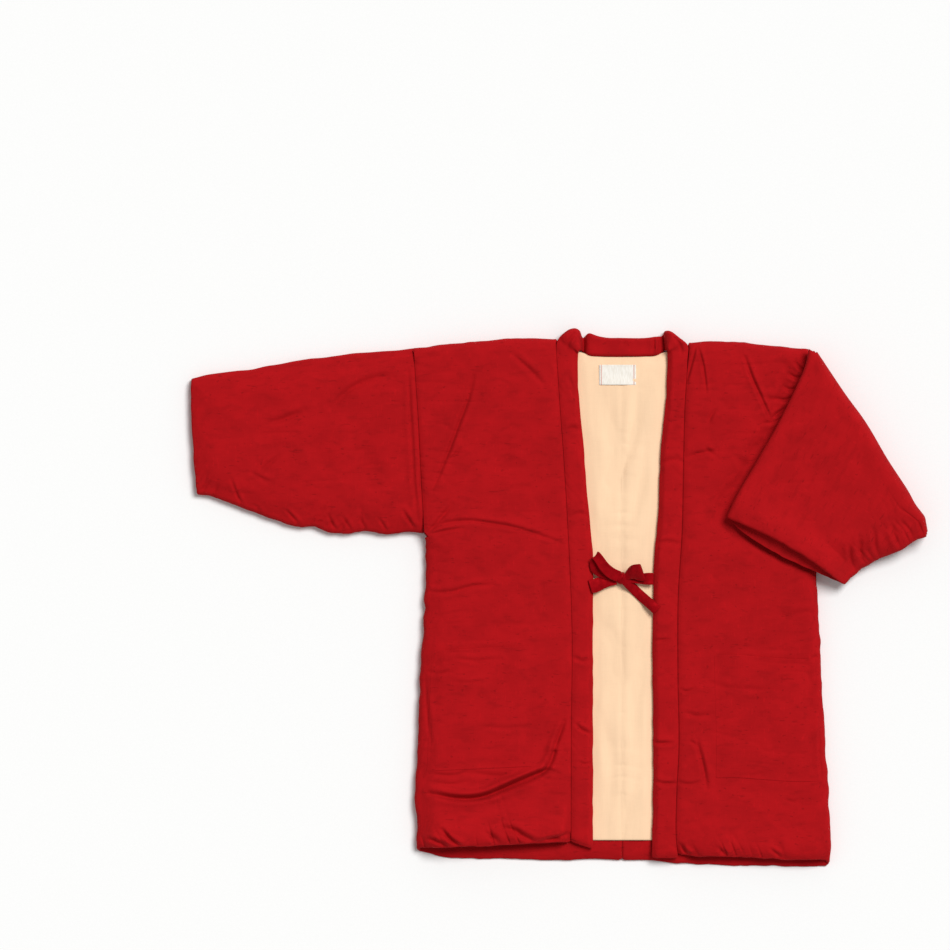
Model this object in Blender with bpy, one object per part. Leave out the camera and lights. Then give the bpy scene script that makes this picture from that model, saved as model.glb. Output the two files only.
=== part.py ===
"""A padded hanten laid flat, face up, with its left sleeve folded over the front.

+X is to the viewer's right, +Y towards the neck, and the surface that it lies on is Z = 0. The sizes and
the tables are in millimetres. Right and left are the wearer's, so the right half lies at -X.
"""

import math

import bmesh
import bpy
import numpy as np

for old in list(bpy.data.objects):
    bpy.data.objects.remove(old, do_unlink=True)

# Driving dimensions
MM = 0.001
BODY_WALL = 12.0  # padded cloth of the body, one layer
SLEEVE_WALL = 11.0
THIN_AT_SEAMS = 0.7  # share of the thickness that is left where a seam presses the padding
SWELL = 38.0  # distance from a seam at which the padding is full
BETWEEN = 1.0  # room between a front and the back under it
SEAM = 0.4  # room between two pieces at a seam
RIM = 3.0  # how far a rounded edge stands out past its wall
FOLD_REACH = 10.0  # how far a fold's round edge reaches past the flat cloth
COLLAR_HEIGHT = 13.0
COLLAR_REST = 14.3  # the collar lies on the lining at this height
LINING_WALL = 1.4
POCKET_WALL = 2.5
ON_PANEL = 0.3  # room under what lies on a panel
TIE_WALL = 1.4
LABEL_WIDTH = 55.0
LABEL_LENGTH = 30.0
LABEL_WALL = 0.9
CENTRE_BACK = 94.5

# Outlines of the halves. Rows of (y, x) for edges that run up the garment, and of (x, y) for those across.
RIGHT = {
    "out": -1,
    "side": (
        (-381, -216), (-345, -213), (-298, -217.5), (-230, -213), (-140, -210), (-62, -205),
        (0, -202), (95, -201),
    ),
    "armhole": ((88, -202), (180, -207), (270, -211.5), (355, -217), (376, -218)),
    "seam": ((-380, 18), (-200, 18.5), (-50, 19.5), (100, 13.5), (225, 6), (300, 0.5), (390, -5)),
    "edge": ((-379, 51), (-4, 51), (68, 51), (116, 46.5), (176, 40.5), (236, 36), (296, 30), (340, 28)),
    "shoulder": ((-220, 374), (-178, 379), (-118, 385), (-58, 389), (-5, 388.5), (60, 388)),
    "front_hem": ((-216, -377), (-138, -374.5), (-63, -371.5), (19, -367)),
    "back_hem": ((-216, -381), (-196, -384), (-178, -388), (-88, -391), (0, -394), (50, -392), (95, -394)),
    "neck": ((-6, 383), (8, 374), (27, 365.5), (34, 364.5), (46, 361.9), (60, 361), (95, 360.8)),
}
LEFT = {
    "out": 1,
    "side": (
        (-402, 406.5), (-375, 408), (-340, 408), (-310, 404), (-288, 405), (-230, 400.5), (-150, 396),
        (-82, 394), (-40, 391), (0, 388), (95, 386),
    ),
    "armhole": ((88, 387), (230, 381), (376, 373)),
    "seam": (
        (-385, 178), (-367, 176), (-304, 176), (-229, 179.5), (-109, 178), (1, 178.5), (101, 184.5),
        (202, 186.5), (301, 189.5), (382, 196),
    ),
    "edge": (
        (-381, 139.5), (-300, 141), (0, 141), (56, 142.5), (116, 148.5), (224, 153), (296, 160.5),
        (340, 162.5),
    ),
    "shoulder": ((95, 383), (190, 383), (271, 383), (301, 379.5), (361, 374.5), (386, 372)),
    "front_hem": ((176, -383), (260, -385), (330, -387), (404, -390)),
    "back_hem": (
        (94, -394), (136, -394), (181, -399), (241, -400.5), (301, -401), (391, -401.5), (407, -399.5),
    ),
    "neck": ((95, 360.8), (128, 361.2), (140, 361.8), (155, 363.2), (163, 364), (180, 368), (197, 377)),
}
SLEEVE_TOP = (
    (-553, 329), (-523, 335), (-451, 344.5), (-415, 351.5), (-343, 362), (-307, 366.5), (-259, 370),
    (-216, 374),
)
SLEEVE_SEAM = (
    (-545, 154), (-520, 150.5), (-499, 143), (-478, 134), (-440, 121), (-415, 112), (-388, 105),
    (-368, 105.5),
    (-343, 97), (-321, 95), (-291, 98.5), (-259, 93.5), (-224, 97.5), (-200, 96),
)
CUFF = ((150, -543), (164, -544.5), (224, -549.5), (272, -552.5), (330, -552.5))

# Where the grids have their lines. Shares of the way from the hem to the armpit, from there to the shoulder,
# from the side to the collar seam, and from that to the centre back.
ROWS_BELOW = (0.0, 0.02, 0.056, 0.12, 0.18, 0.245, 0.32, 0.4, 0.48, 0.56, 0.632, 0.72, 0.8, 0.88, 0.95, 1.0)
ROWS_ABOVE = (0.03, 0.12, 0.24, 0.36, 0.48, 0.6, 0.72, 0.84, 0.94, 1.0)
ARMPIT = 0.624
POCKET_ROWS = (5, 10)
COLUMNS = (0.0, 0.06, 0.16, 0.28, 0.4, 0.52, 0.64, 0.76, 0.88, 0.96, 1.0)
POCKET_COLUMNS = (1, 7)
BACK_COLUMNS = (0.2, 0.45, 0.7, 0.9, 1.0)

# Creases pressed into the padding: the points that each follows, its width and its depth
FRONT_CREASES = (
    (((-130, 326), (-163, 226), (-193, 157)), 16, 2.6),
    (((-69, 364), (-24, 322)), 16, 2.0),
    (((-198, 98), (-163, 113), (-114, 113), (-63, 104), (2, 83)), 15, 3.0),
    (((-199, 95), (-160, 140)), 12, 2.0),
    (((-198, 7), (-99, 19)), 16, 1.6),
    (((-201, -293), (-140, -301), (-84, -281), (-48, -266), (-13, -265)), 16, 3.4),
    (((279, 361), (291, 322), (316, 271)), 16, 2.6),
    (((192, 209), (237, 221)), 14, 1.8),
    (((207, -218), (214, -244), (222, -284)), 14, 1.8),
)
SLEEVE_CREASES = (
    (((-436, 262), (-382, 281)), 16, 2.0),
    (((-340, 284), (-319, 308), (-274, 329), (-250, 331)), 16, 2.6),
    (((-448, 185), (-421, 212)), 14, 2.0),
    (((-492, 178), (-474, 136)), 11, 3.0),
    (((-454, 136), (-442, 118)), 10, 2.6),
    (((-410, 131), (-388, 110)), 11, 3.0),
    (((-346, 124), (-332, 98)), 11, 3.0),
    (((-316, 114), (-300, 96)), 10, 2.6),
    (((-270, 118), (-260, 94)), 10, 2.6),
    (((-232, 127), (-214, 100)), 11, 3.0),
)
FLAP_CREASES = (
    (((461, 52), (452, 84)), 9, 2.8),
    (((481, 62), (474, 98)), 9, 2.8),
    (((511, 74), (499, 104)), 9, 2.8),
    (((531, 88), (518, 112)), 9, 2.4),
)

# The left sleeve after its fold. Rows of (share of the way from the fold to the cuff, x, y).
FLAP_TOP = (
    (0, 377, 372), (0.09, 369, 352), (0.23, 350, 316), (0.45, 322, 257), (0.7, 290, 194), (0.89, 262, 147),
    (1, 250, 117),
)
FLAP_SEAM = (
    (0, 552, 92), (0.1, 540, 89), (0.33, 512, 71), (0.53, 485, 60), (0.65, 469, 52), (0.83, 447, 38),
    (1, 427, 18),
)
# Its folded edge, as the share of the way from the shoulder to the seam, x and y
FOLD_EDGE = (
    (0, 385, 372), (0.23, 430, 305), (0.38, 459, 265), (0.58, 490.5, 206), (0.78, 523, 158), (0.93, 549, 121),
    (1, 553, 97),
)
STUB_START = np.array([(375.5, 362.0), (387.8, 106.0)])  # ends of the flat cloth at the armhole
STUB_HEIGHT = 26.3
FLAP_HEIGHT = 21.0
FOLD_FLATNESS = 0.6
SLEEVE_WIDTH = 250.0  # from its top fold to its seam
SAG = 19.0
SAG_REACH = 62.0
STUB_CORNER = (392.0, 92.0)  # outside this corner the folded sleeve has nothing under it
CUFF_BACK = 8.0  # how far the cuff's upper layer stays behind
CUFF_OUT = 8.0  # how far its lower layer stands out
MOUTH_GAP = 3.6

# Turn of the collar round the neck: inner x and y, outer x and y, underside and height
COLLAR_NECK = (
    (28, 352, -3.5, 362, 14.3, COLLAR_HEIGHT),
    (28.5, 364, -3.0, 384, 14.3, COLLAR_HEIGHT),
    (29.5, 369, 9.0, 398, 10.0, 20.0),
    (31.5, 370.5, 22.0, 403.5, 4.0, 24.0),
    (34.0, 370, 31.0, 400, 0.0, 22.0),
    (37.0, 367, 37.0, 390, 0.0, 12.0),
    (43.0, 363.5, 45.0, 396, 0.0, 16.0),
    (58.0, 362, 62.0, 391, 0.0, 16.5),
    (94.5, 361.2, 94.5, 389, 0.0, 16.5),
    (128.0, 361.8, 130.0, 389, 0.0, 16.5),
    (148.0, 363.6, 144.0, 391, 0.0, 16.0),
    (156.0, 368, 153.5, 393, 0.0, 13.0),
    (159.5, 371, 157.0, 400, 0.0, 22.0),
    (161.5, 372, 168.0, 399, 4.0, 24.0),
    (162.5, 370, 180.0, 390, 10.0, 20.0),
    (163.0, 364, 193.5, 378, 14.3, COLLAR_HEIGHT),
    (163.0, 350, 193.0, 358, 14.3, COLLAR_HEIGHT),
)
COLLAR_RUN = (-376.0, 335.0)  # from the front hem to where it turns round the neck
COLLAR_STEPS = 17
COLLAR_SIDES = 12
COLLAR_ROUND = 0.62  # below 1 the section is nearer to a box than to an ellipse
COLLAR_SLANT = 11.0  # how much its outer corner lies above its inner one at the right hem
COLLAR_SLANT_REACH = 60.0
LINING_ROW = 2  # the body row where the lining ends above the hem
LABEL_MIDDLE = (88.0, 334.0)

# Ties and bow: x, y, z, the direction across the ribbon in degrees, and its width
RIBBONS = {
    "tie_right_band": (
        (47, 16.5, 28, 108, 19), (54, 17.5, 26.6, 106, 18), (64, 19.5, 24.4, 104, 15),
        (74, 21, 22.5, 100, 10),
        (86.2, 23.8, 22, 100, 7),
    ),
    "tie_right_loop": (
        (87.6, 31.6, 27.4, 60, 9), (76, 37, 31.5, 52, 13), (66, 48, 35.5, 40, 16), (57, 60, 37, 40, 15),
        (53, 62, 35, 38, 15), (53.5, 55, 32.4, 32, 14), (60, 43, 28.4, 45, 14), (73, 33.5, 26.2, 58, 11),
        (84.6, 29.8, 24.6, 66, 8),
    ),
    "tie_left_band": (
        (141.3, 28, 23, 90, 17), (132, 28, 24, 90, 16), (120, 28, 22.5, 90, 14), (105.5, 28, 21.5, 90, 10),
    ),
    "tie_left_loop": (
        (103.9, 33, 27.4, 80, 9), (112, 37, 32, 84, 14), (119, 37.5, 34.5, 86, 19), (125, 37, 33, 98, 22),
        (127, 36.5, 29.5, 100, 22), (120, 35, 27, 92, 18), (111, 33.8, 25.4, 84, 9), (105.6, 33, 24.2, 84, 6),
    ),
    "tie_left_tail": (
        (102.7, 22.4, 25.5, 50, 12), (113, 12, 25, 50, 17), (124, 1.5, 26, 50, 18), (136, -9, 28.6, 50, 16),
        (146, -19.5, 29.4, 48, 14),
    ),
}
KNOT = (95.5, 28.5, 23.0)
KNOT_SIZE = (19.0, 19.0, 15.0)

COLOURS = {
    "red": ((173, 22, 27), 0.82),
    "red_dark": ((150, 18, 24), 0.45),
    "cream": ((251, 216, 178), 0.8),
    "white": ((238, 234, 228), 0.7),
}


def linear(channel):
    c = channel / 255
    return c / 12.92 if c <= 0.04045 else ((c + 0.055) / 1.055) ** 2.4


def finish(name, colour):
    """A material of the piece's own, in one of the garment's colours."""
    rgb, rough = COLOURS[colour]
    made = bpy.data.materials.new(name)
    made.use_nodes = True
    shader = made.node_tree.nodes["Principled BSDF"]
    shader.inputs["Base Color"].default_value = (*(linear(c) for c in rgb), 1)
    shader.inputs["Roughness"].default_value = rough
    shader.inputs["Metallic"].default_value = 0
    made.diffuse_color = (*(linear(c) for c in rgb), 1)
    return made


def curve(rows, at):
    """The smooth value at each place, from rows of place and value in rising order of place."""
    place, value = np.array(rows, float).T
    slope = np.gradient(value, place)
    at = np.clip(at, place[0], place[-1])
    k = np.clip(np.searchsorted(place, at) - 1, 0, len(place) - 2)
    width = place[k + 1] - place[k]
    t = (at - place[k]) / width
    ends = value[k] * (1 + 2 * t) * (1 - t) ** 2 + value[k + 1] * t * t * (3 - 2 * t)
    return ends + width * (slope[k] * t * (1 - t) ** 2 - slope[k + 1] * t * t * (1 - t))


def path(rows, at):
    """Points along rows of (share, x, y)."""
    rows = np.array(rows, float)
    return np.stack([curve(rows[:, [0, 1]], at), curve(rows[:, [0, 2]], at)], -1)


def mix(a, b, share):
    return a + (b - a) * share


def swell(distance):
    """The share of the padding's thickness that is left this far from a seam."""
    share = np.clip(distance / SWELL, 0, 1)
    return THIN_AT_SEAMS + (1 - THIN_AT_SEAMS) * np.sin(share * math.pi / 2)


def pressed(creases, x, y):
    """How deep the creases press the cloth at a place."""
    depth = np.zeros(np.shape(x))
    for points, width, most in creases:
        near = np.full(np.shape(x), 1e9)
        for (ax, ay), (bx, by) in zip(points, points[1:]):
            length = (bx - ax) ** 2 + (by - ay) ** 2
            t = np.clip(((x - ax) * (bx - ax) + (y - ay) * (by - ay)) / length, 0, 1)
            near = np.minimum(near, np.hypot(x - mix(ax, bx, t), y - mix(ay, by, t)))
        depth = np.maximum(depth, most * np.exp(-((near / width) ** 2)))
    return depth


def body_of(name, points, triangles, colour):
    mesh = bpy.data.meshes.new(name)
    mesh.from_pydata([tuple(p * MM for p in point) for point in points], [], triangles)
    mesh.materials.append(finish(name, colour))
    mesh.shade_smooth()
    mesh.set_sharp_from_angle(angle=math.radians(60))
    made = bpy.data.objects.new(name, mesh)
    bpy.context.scene.collection.objects.link(made)
    return made


def split(quads):
    """Triangles from quads, always along the same diagonal, so that stacked pieces follow each other."""
    return [t for a, b, c, d in quads for t in ((a, b, c), (a, c, d))]


def wall(name, outer, inner, quads, colour, rim=RIM, steps=1):
    """A closed body between two skins of a sheet, with a rounded rim along every free edge."""
    outer, inner = np.array(outer, float), np.array(inner, float)
    count = len(outer)
    points = [*outer, *inner]
    skin = split(quads)
    faces = skin + [(c + count, b + count, a + count) for a, b, c in skin]
    directed = {(q[i], q[(i + 1) % 4]) for q in quads for i in range(4)}
    free = sorted((a, b) for a, b in directed if (b, a) not in directed)
    away = {}
    for a, b in free:
        through = outer[a] - inner[a] + outer[b] - inner[b]
        side = np.cross(outer[b] - outer[a] + inner[b] - inner[a], through)
        side /= np.linalg.norm(side) or 1
        for end in (a, b):
            away[end] = away.get(end, 0) + side
    rows = {}
    for end, side in away.items():
        side = side / (np.linalg.norm(side) or 1)
        middle, half = (outer[end] + inner[end]) / 2, (outer[end] - inner[end]) / 2
        rows[end] = [end]
        for k in range(1, steps + 1):
            turn = math.pi * k / (steps + 1)
            rows[end].append(len(points))
            points.append(middle + half * math.cos(turn) + side * rim * math.sin(turn))
        rows[end].append(end + count)
    for a, b in free:
        for k in range(steps + 1):
            faces += split([(rows[b][k], rows[a][k], rows[a][k + 1], rows[b][k + 1])])
    return body_of(name, points, faces, colour)


def front_height(half, x, y):
    """Underside and top of a front at a place: it lies on the back, and its padding thins at the seams."""
    base = back_height(half, x, y) + BETWEEN
    from_seam = (x - curve(half["seam"], y)) * half["out"]
    full = np.minimum(distance_in(half, x, y, "front_hem"), from_seam)
    top = base + (BODY_WALL + 1.0) * swell(full)
    return base, top - pressed(FRONT_CREASES, x, y) * np.clip(full / BODY_WALL, 0.3, 1)


def distance_in(half, x, y, hem):
    """Distance from the nearest of the side, shoulder and hem, measured straight across."""
    side = np.where(y > 92, curve(half["armhole"], y), curve(half["side"], y))
    from_side = (side - x) * half["out"]
    from_top = curve(half["shoulder"], x) - y
    return np.maximum(0, np.minimum(np.minimum(from_side, from_top), y - curve(half[hem], x)))


def back_height(half, x, y):
    return BODY_WALL * swell(distance_in(half, x, y, "back_hem"))


def rows_of_body():
    below = [share * ARMPIT for share in ROWS_BELOW]
    return below + [mix(ARMPIT, 1.0, share) for share in ROWS_ABOVE]


def body_place(half, u, v, below, hem):
    """Plan position on a half, at share u from the side to the collar seam and v from hem to shoulder."""
    out = half["out"]
    x = 90.0 + out * 130
    for _ in range(4):
        low, high = curve(half[hem], x) + RIM, curve(half["shoulder"], x) - FOLD_REACH
        y = mix(low, high, v)
        if below:
            side = curve(half["side"], y) - out * FOLD_REACH
        else:
            side = curve(half["armhole"], y) - out * (RIM + SEAM / 2)
        x = mix(side, curve(half["seam"], y) + out * (RIM + SEAM / 2), u)
    return x, y


def fold_points(flat_xy, towards, wall_at):
    """Outer and inner points round a fold, from the underside up, past the flat cloth's last place."""
    outer, inner = [], []
    half_height = wall_at + BETWEEN / 2
    for turn in (-math.pi / 4, 0, math.pi / 4):
        reach = FOLD_REACH * math.cos(turn)
        inside = (FOLD_REACH - wall_at) * math.cos(turn)
        rise = math.sin(turn)
        outer.append((*(flat_xy + towards * reach), half_height * (1 + rise)))
        inner.append((*(flat_xy + towards * inside), half_height + BETWEEN / 2 * rise))
    return outer, inner


def body(name, half):
    """Front and back in one panel: joined round the shoulder fold and the side, open at hem and armhole."""
    outer, inner, quads = [], [], []

    def add(out_point, in_point):
        outer.append(out_point)
        inner.append(in_point)
        return len(outer) - 1

    rows = rows_of_body()
    armpit = len(ROWS_BELOW) - 1
    last = len(rows) - 1
    front, back = [], []
    for i, v in enumerate(rows):
        front.append([])
        back.append([])
        for u in COLUMNS:
            x, y = body_place(half, u, v, i <= armpit, "front_hem")
            low, top = (float(z) for z in front_height(half, x, y))
            front[i].append(add((x, y, top), (x, y, low)))
            x, y = body_place(half, u, v, i <= armpit, "back_hem")
            back[i].append(add((x, y, 0), (x, y, float(back_height(half, x, y)))))
        seam_x, seam_y = x, y
        for share in BACK_COLUMNS:
            x = mix(seam_x, CENTRE_BACK + half["out"] * (RIM + SEAM / 2), share)
            low = float(curve(half["back_hem"], x)) + RIM
            high = mix(seam_y, float(curve(half["neck"], x)) - RIM, min(1, share * 4)) if i == last else None
            if i < last:
                top = min(float(curve(half["neck"], x)) - RIM, float(curve(half["shoulder"], x)) - FOLD_REACH)
                high = mix(low, top, v)
            back[i].append(add((x, high, 0), (x, high, float(BODY_WALL * swell(min(high - low, 60))))))
    across, up = np.array([half["out"], 0.0]), np.array([0.0, 1.0])
    arcs = {}
    for i in range(armpit + 1):
        x, y, _ = outer[back[i][0]]
        front_y = outer[front[i][0]][1]
        points = fold_points(np.array([x, y]), across, inner[back[i][0]][2])
        for k in range(3):
            shift = mix(0, front_y - y, (k + 1) / 4)
            arcs["side", i, k] = add(
                (points[0][k][0], points[0][k][1] + shift, points[0][k][2]),
                (points[1][k][0], points[1][k][1] + shift, points[1][k][2]),
            )
    for j in range(len(COLUMNS)):
        x, y, _ = outer[back[last][j]]
        points = fold_points(np.array([x, y]), up, inner[back[last][j]][2])
        for k in range(3):
            arcs["shoulder", j, k] = add(points[0][k], points[1][k])
    for i in range(last):
        for j in range(len(COLUMNS) - 1):
            quads.append((front[i][j], front[i][j + 1], front[i + 1][j + 1], front[i + 1][j]))
        for j in range(len(back[0]) - 1):
            quads.append((back[i][j + 1], back[i][j], back[i + 1][j], back[i + 1][j + 1]))
    for i in range(armpit):
        strips = [[back[n][0], *(arcs["side", n, k] for k in range(3)), front[n][0]] for n in (i, i + 1)]
        quads += [(strips[0][k], strips[0][k + 1], strips[1][k + 1], strips[1][k]) for k in range(4)]
    for j in range(len(COLUMNS) - 1):
        strips = [
            [back[last][n], *(arcs["shoulder", n, k] for k in range(3)), front[last][n]] for n in (j, j + 1)
        ]
        quads += [(strips[0][k], strips[0][k + 1], strips[1][k + 1], strips[1][k]) for k in range(4)]
    if half["out"] > 0:
        quads = [q[::-1] for q in quads]
    made = wall(name, outer, inner, quads, "red")
    return made, np.array(outer), np.array(inner), front, back


def overlay(name, points, grid, rows, columns, thickness, colour, flip, last_x=None):
    """A thin piece that lies on a panel, made from the panel's own points, moved out."""
    across = range(columns[0], columns[1] + 1)
    base = [[points[grid[i][j]] for j in across] for i in range(rows[0], rows[1] + 1)]
    if last_x is not None:
        base = [[*row[:-1], (last_x, *row[-1][1:])] for row in base]
    wide, long = len(base[0]), len(base)
    low = [np.array(p) + (0, 0, ON_PANEL) for row in base for p in row]
    top = [p + (0, 0, thickness) for p in low]
    quads = [
        (i * wide + j, i * wide + j + 1, (i + 1) * wide + j + 1, (i + 1) * wide + j)
        for i in range(long - 1)
        for j in range(wide - 1)
    ]
    if flip:
        quads = [q[::-1] for q in quads]
    return wall(name, top, low, quads, colour, rim=0, steps=0)


def sleeve_right():
    """A flattened tube, folded along its top and sewn along its lower edge, open at the cuff and armhole."""
    stations = np.concatenate([[0.0], np.linspace(0.035, 0.97, 27), [1.0]])
    shares = (0.0, 0.1, 0.24, 0.4, 0.58, 0.76, 0.9, 1.0)
    outer, inner, rings = [], [], []
    for f in stations:
        ring_out, ring_in = [], []
        for up in (True, False):
            layer = []
            for w in shares:
                x, y = -380.0, 230.0
                for _ in range(4):
                    armhole = curve(RIGHT["armhole"], y) - RIM - SEAM / 2
                    x = mix(armhole, curve(CUFF, y) + RIM, f)
                    low, high = curve(SLEEVE_SEAM, x) + FOLD_REACH, curve(SLEEVE_TOP, x) - FOLD_REACH
                    y = mix(low, high, w)
                ends = np.minimum(y - low, high - y)
                along = np.minimum(np.abs(x - curve(RIGHT["armhole"], y)), np.abs(x - curve(CUFF, y)))
                layer.append((float(x), float(y), float(SLEEVE_WALL * swell(np.minimum(ends, along)))))
            flat = [np.array(p[:2]) for p in layer]
            if up:
                ring_out += [(x, y, 0.0) for x, y, t in layer]
                ring_in += [(x, y, t) for x, y, t in layer]
                arc = fold_points(flat[-1], np.array([0.0, 1.0]), layer[-1][2])
            else:
                press = [float(pressed(SLEEVE_CREASES, x, y)) for x, y, t in layer]
                top = [(x, y, 2 * t + BETWEEN - d) for (x, y, t), d in zip(layer, press)]
                ring_out += top[::-1]
                ring_in += [(x, y, t + BETWEEN) for x, y, t in layer][::-1]
                arc = fold_points(flat[0], np.array([0.0, -1.0]), layer[0][2])
                arc = (arc[0][::-1], arc[1][::-1])
            ring_out += arc[0]
            ring_in += arc[1]
        start = len(outer)
        outer += ring_out
        inner += ring_in
        rings.append(range(start, len(outer)))
    around = len(rings[0])
    quads = [
        (b[k], b[(k + 1) % around], a[(k + 1) % around], a[k])
        for a, b in zip(rings, rings[1:])
        for k in range(around)
    ]
    return wall("sleeve_right", outer, inner, quads, "red")


def level_ring(low, top, low_level, top_level, reach):
    """A flattened ring: a side, a round end, the other side and a round end. Plan, level and share."""
    share = np.linspace(0, 1, len(low))
    ahead_last = (low[-1] - low[-2]) / np.linalg.norm(low[-1] - low[-2])
    ahead_first = (low[1] - low[0]) / np.linalg.norm(low[1] - low[0])
    turns = (-math.pi / 4, 0, math.pi / 4)
    plan = list(low)
    level = list(low_level)
    middle, half = (low_level[-1] + top_level[-1]) / 2, (top_level[-1] - low_level[-1]) / 2
    plan += [(low[-1] + top[-1]) / 2 + ahead_last * reach * math.cos(t) for t in turns]
    level += [middle + half * math.sin(t) for t in turns]
    plan += list(top[::-1])
    level += list(top_level[::-1])
    middle, half = (low_level[0] + top_level[0]) / 2, (top_level[0] - low_level[0]) / 2
    plan += [(low[0] + top[0]) / 2 - ahead_first * reach * math.cos(t) for t in turns]
    level += [middle - half * math.sin(t) for t in turns]
    across = [*share, 1, 1, 1, *share[::-1], 0, 0, 0]
    return np.array(plan), np.array(level), np.array(across)


def cap(ring, sides, reverse):
    """Faces that close a flattened ring: strips between its two sides, and a fan at each round end."""
    mirror = 2 * sides + 2
    quads = [(ring[k], ring[k + 1], ring[mirror - k - 1], ring[mirror - k]) for k in range(sides - 1)]
    ends = [ring[sides - 1 : sides + 4], [*ring[2 * sides + 2 :], ring[0]]]
    faces = split(quads) + [(e[0], e[k], e[k + 1]) for e in ends for k in (1, 2, 3)]
    return [f[::-1] for f in faces] if reverse else faces


def loft(name, rings, sides, colour):
    """A closed body through rings of points, with both ends capped."""
    around = len(rings[0])
    points = [p for ring in rings for p in ring]
    index = [list(range(n * around, (n + 1) * around)) for n in range(len(rings))]
    quads = [
        (a[k], a[(k + 1) % around], b[(k + 1) % around], b[k])
        for a, b in zip(index, index[1:])
        for k in range(around)
    ]
    faces = split(quads) + cap(index[0], sides, True) + cap(index[-1], sides, False)
    return body_of(name, points, faces, colour)


def sag(x, y):
    """How far the folded sleeve sinks where neither its own stub nor the front carries it."""
    free = np.minimum(STUB_CORNER[1] - y, x - STUB_CORNER[0])
    return SAG * np.sin(np.clip(free / SAG_REACH, 0, 1) * math.pi / 2) ** 2


def fold_axis(shares):
    """The line that the left sleeve folds round, and how far the fold reaches out from it at each level."""
    edge = path(FOLD_EDGE, shares)
    ahead = np.array(FOLD_EDGE[-1][1:], float) - np.array(FOLD_EDGE[0][1:], float)
    ahead /= np.linalg.norm(ahead)
    outward = np.array([-ahead[1], ahead[0]])
    flatness = FOLD_FLATNESS * np.minimum(1.0, 0.2 + 5 * np.minimum(shares, 1 - shares))
    return edge - outward * ((STUB_HEIGHT + ON_PANEL) * flatness)[:, None], outward, flatness


def sleeve_left():
    """The sleeve lies out from the armhole, folds over, and comes back over the front to its open cuff."""
    share = np.linspace(0, 1, 10)
    profile = swell(np.minimum(share, 1 - share) * SLEEVE_WIDTH)
    axis, outward, flatness = fold_axis(mix(0.03, 0.97, share))
    contact = STUB_HEIGHT + ON_PANEL
    zero = np.zeros(10)
    rings = []
    for f in (0.0, 0.3, 0.65, 1.0):
        plan, level, across = level_ring(
            mix(mix(STUB_START[0], STUB_START[1], share[:, None]), axis, f),
            mix(mix(STUB_START[0], STUB_START[1], share[:, None]), axis, f),
            zero, STUB_HEIGHT * profile, FOLD_REACH,
        )
        whole = STUB_HEIGHT * np.interp(across, share, profile)
        height = mix(whole - level, contact - ON_PANEL - level, f * f)
        rings.append(np.column_stack([plan, height]))
    for degrees in (-60, -30, 0, 30, 60):
        turn = math.radians(degrees)
        height = mix(STUB_HEIGHT, FLAP_HEIGHT, (degrees + 90) / 180)
        plan, level, across = level_ring(axis, axis, zero, height * profile, FOLD_REACH * 0.5)
        out = np.interp(across, share, flatness) * (ON_PANEL + level) * math.cos(turn)
        height = contact + (ON_PANEL + level) * math.sin(turn)
        rings.append(np.column_stack([plan + outward * out[:, None], height]))

    def flap_ring(s, low_level, top_level, reach, out):
        first, last = path(FLAP_TOP, s), path(FLAP_SEAM, s)
        ahead = (last - first) / np.linalg.norm(last - first)
        ends = first + ahead * FOLD_REACH, last - ahead * FOLD_REACH
        straight = mix(ends[0], ends[1], share[:, None])
        chord = mix(axis[0], axis[-1], share[:, None])
        along = path(FLAP_TOP, 1) - path(FLAP_TOP, 0) + path(FLAP_SEAM, 1) - path(FLAP_SEAM, 0)
        along /= np.linalg.norm(along)
        bump = np.sin(math.pi * share)[:, None] * max(0.0, (s - 0.5) * 2) ** 2
        middle = straight + (axis - chord) * (1 - s) ** 2 + along * out
        plan, level, across = level_ring(
            middle + along * CUFF_OUT * bump, middle - along * CUFF_BACK * bump, low_level, top_level, reach
        )
        x, y = plan.T
        crease = pressed(FLAP_CREASES, x, y) * (level / FLAP_HEIGHT) ** 2
        return np.column_stack([plan, contact + ON_PANEL + level - sag(x, y) - crease])

    full = FLAP_HEIGHT * profile
    for s in (0.0, 0.08, 0.17, 0.26, 0.35, 0.44, 0.53, 0.62, 0.71, 0.8, 0.88, 0.94, 0.98):
        thin = float(swell((1 - s) * SLEEVE_WIDTH))
        rings.append(flap_ring(s, zero, full * thin, FOLD_REACH, 0))
    edge = full * THIN_AT_SEAMS
    layer = (edge - MOUTH_GAP) / 2
    rings.append(flap_ring(0.98, layer / 2, edge - layer / 2, FOLD_REACH - 3.5, RIM))
    for s, gap in ((0.98, MOUTH_GAP), (0.9, MOUTH_GAP * 0.7), (0.8, 1.2), (0.68, 0.8)):
        thin = float(swell((1 - s) * SLEEVE_WIDTH))
        rings.append(flap_ring(s, (full * thin - gap) / 2, (full * thin + gap) / 2, 2.0, 0))
    return loft("sleeve_left", rings, 10, "red")


def collar_ring(inner, outer, low, height):
    """A section of the folded band: flat below, rounded at both edges and crowned on top."""
    middle, half = (np.array(inner) + np.array(outer)) / 2, (np.array(outer) - np.array(inner)) / 2
    ring = []
    for k in range(COLLAR_SIDES):
        turn = 2 * math.pi * (k + 0.5) / COLLAR_SIDES
        across, rise = math.cos(turn), math.sin(turn)
        across = math.copysign(abs(across) ** COLLAR_ROUND, across)
        rise = math.copysign(abs(rise) ** COLLAR_ROUND, rise)
        ring.append((*(middle + half * across), low + height * (1 + rise) / 2))
    return ring


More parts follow.
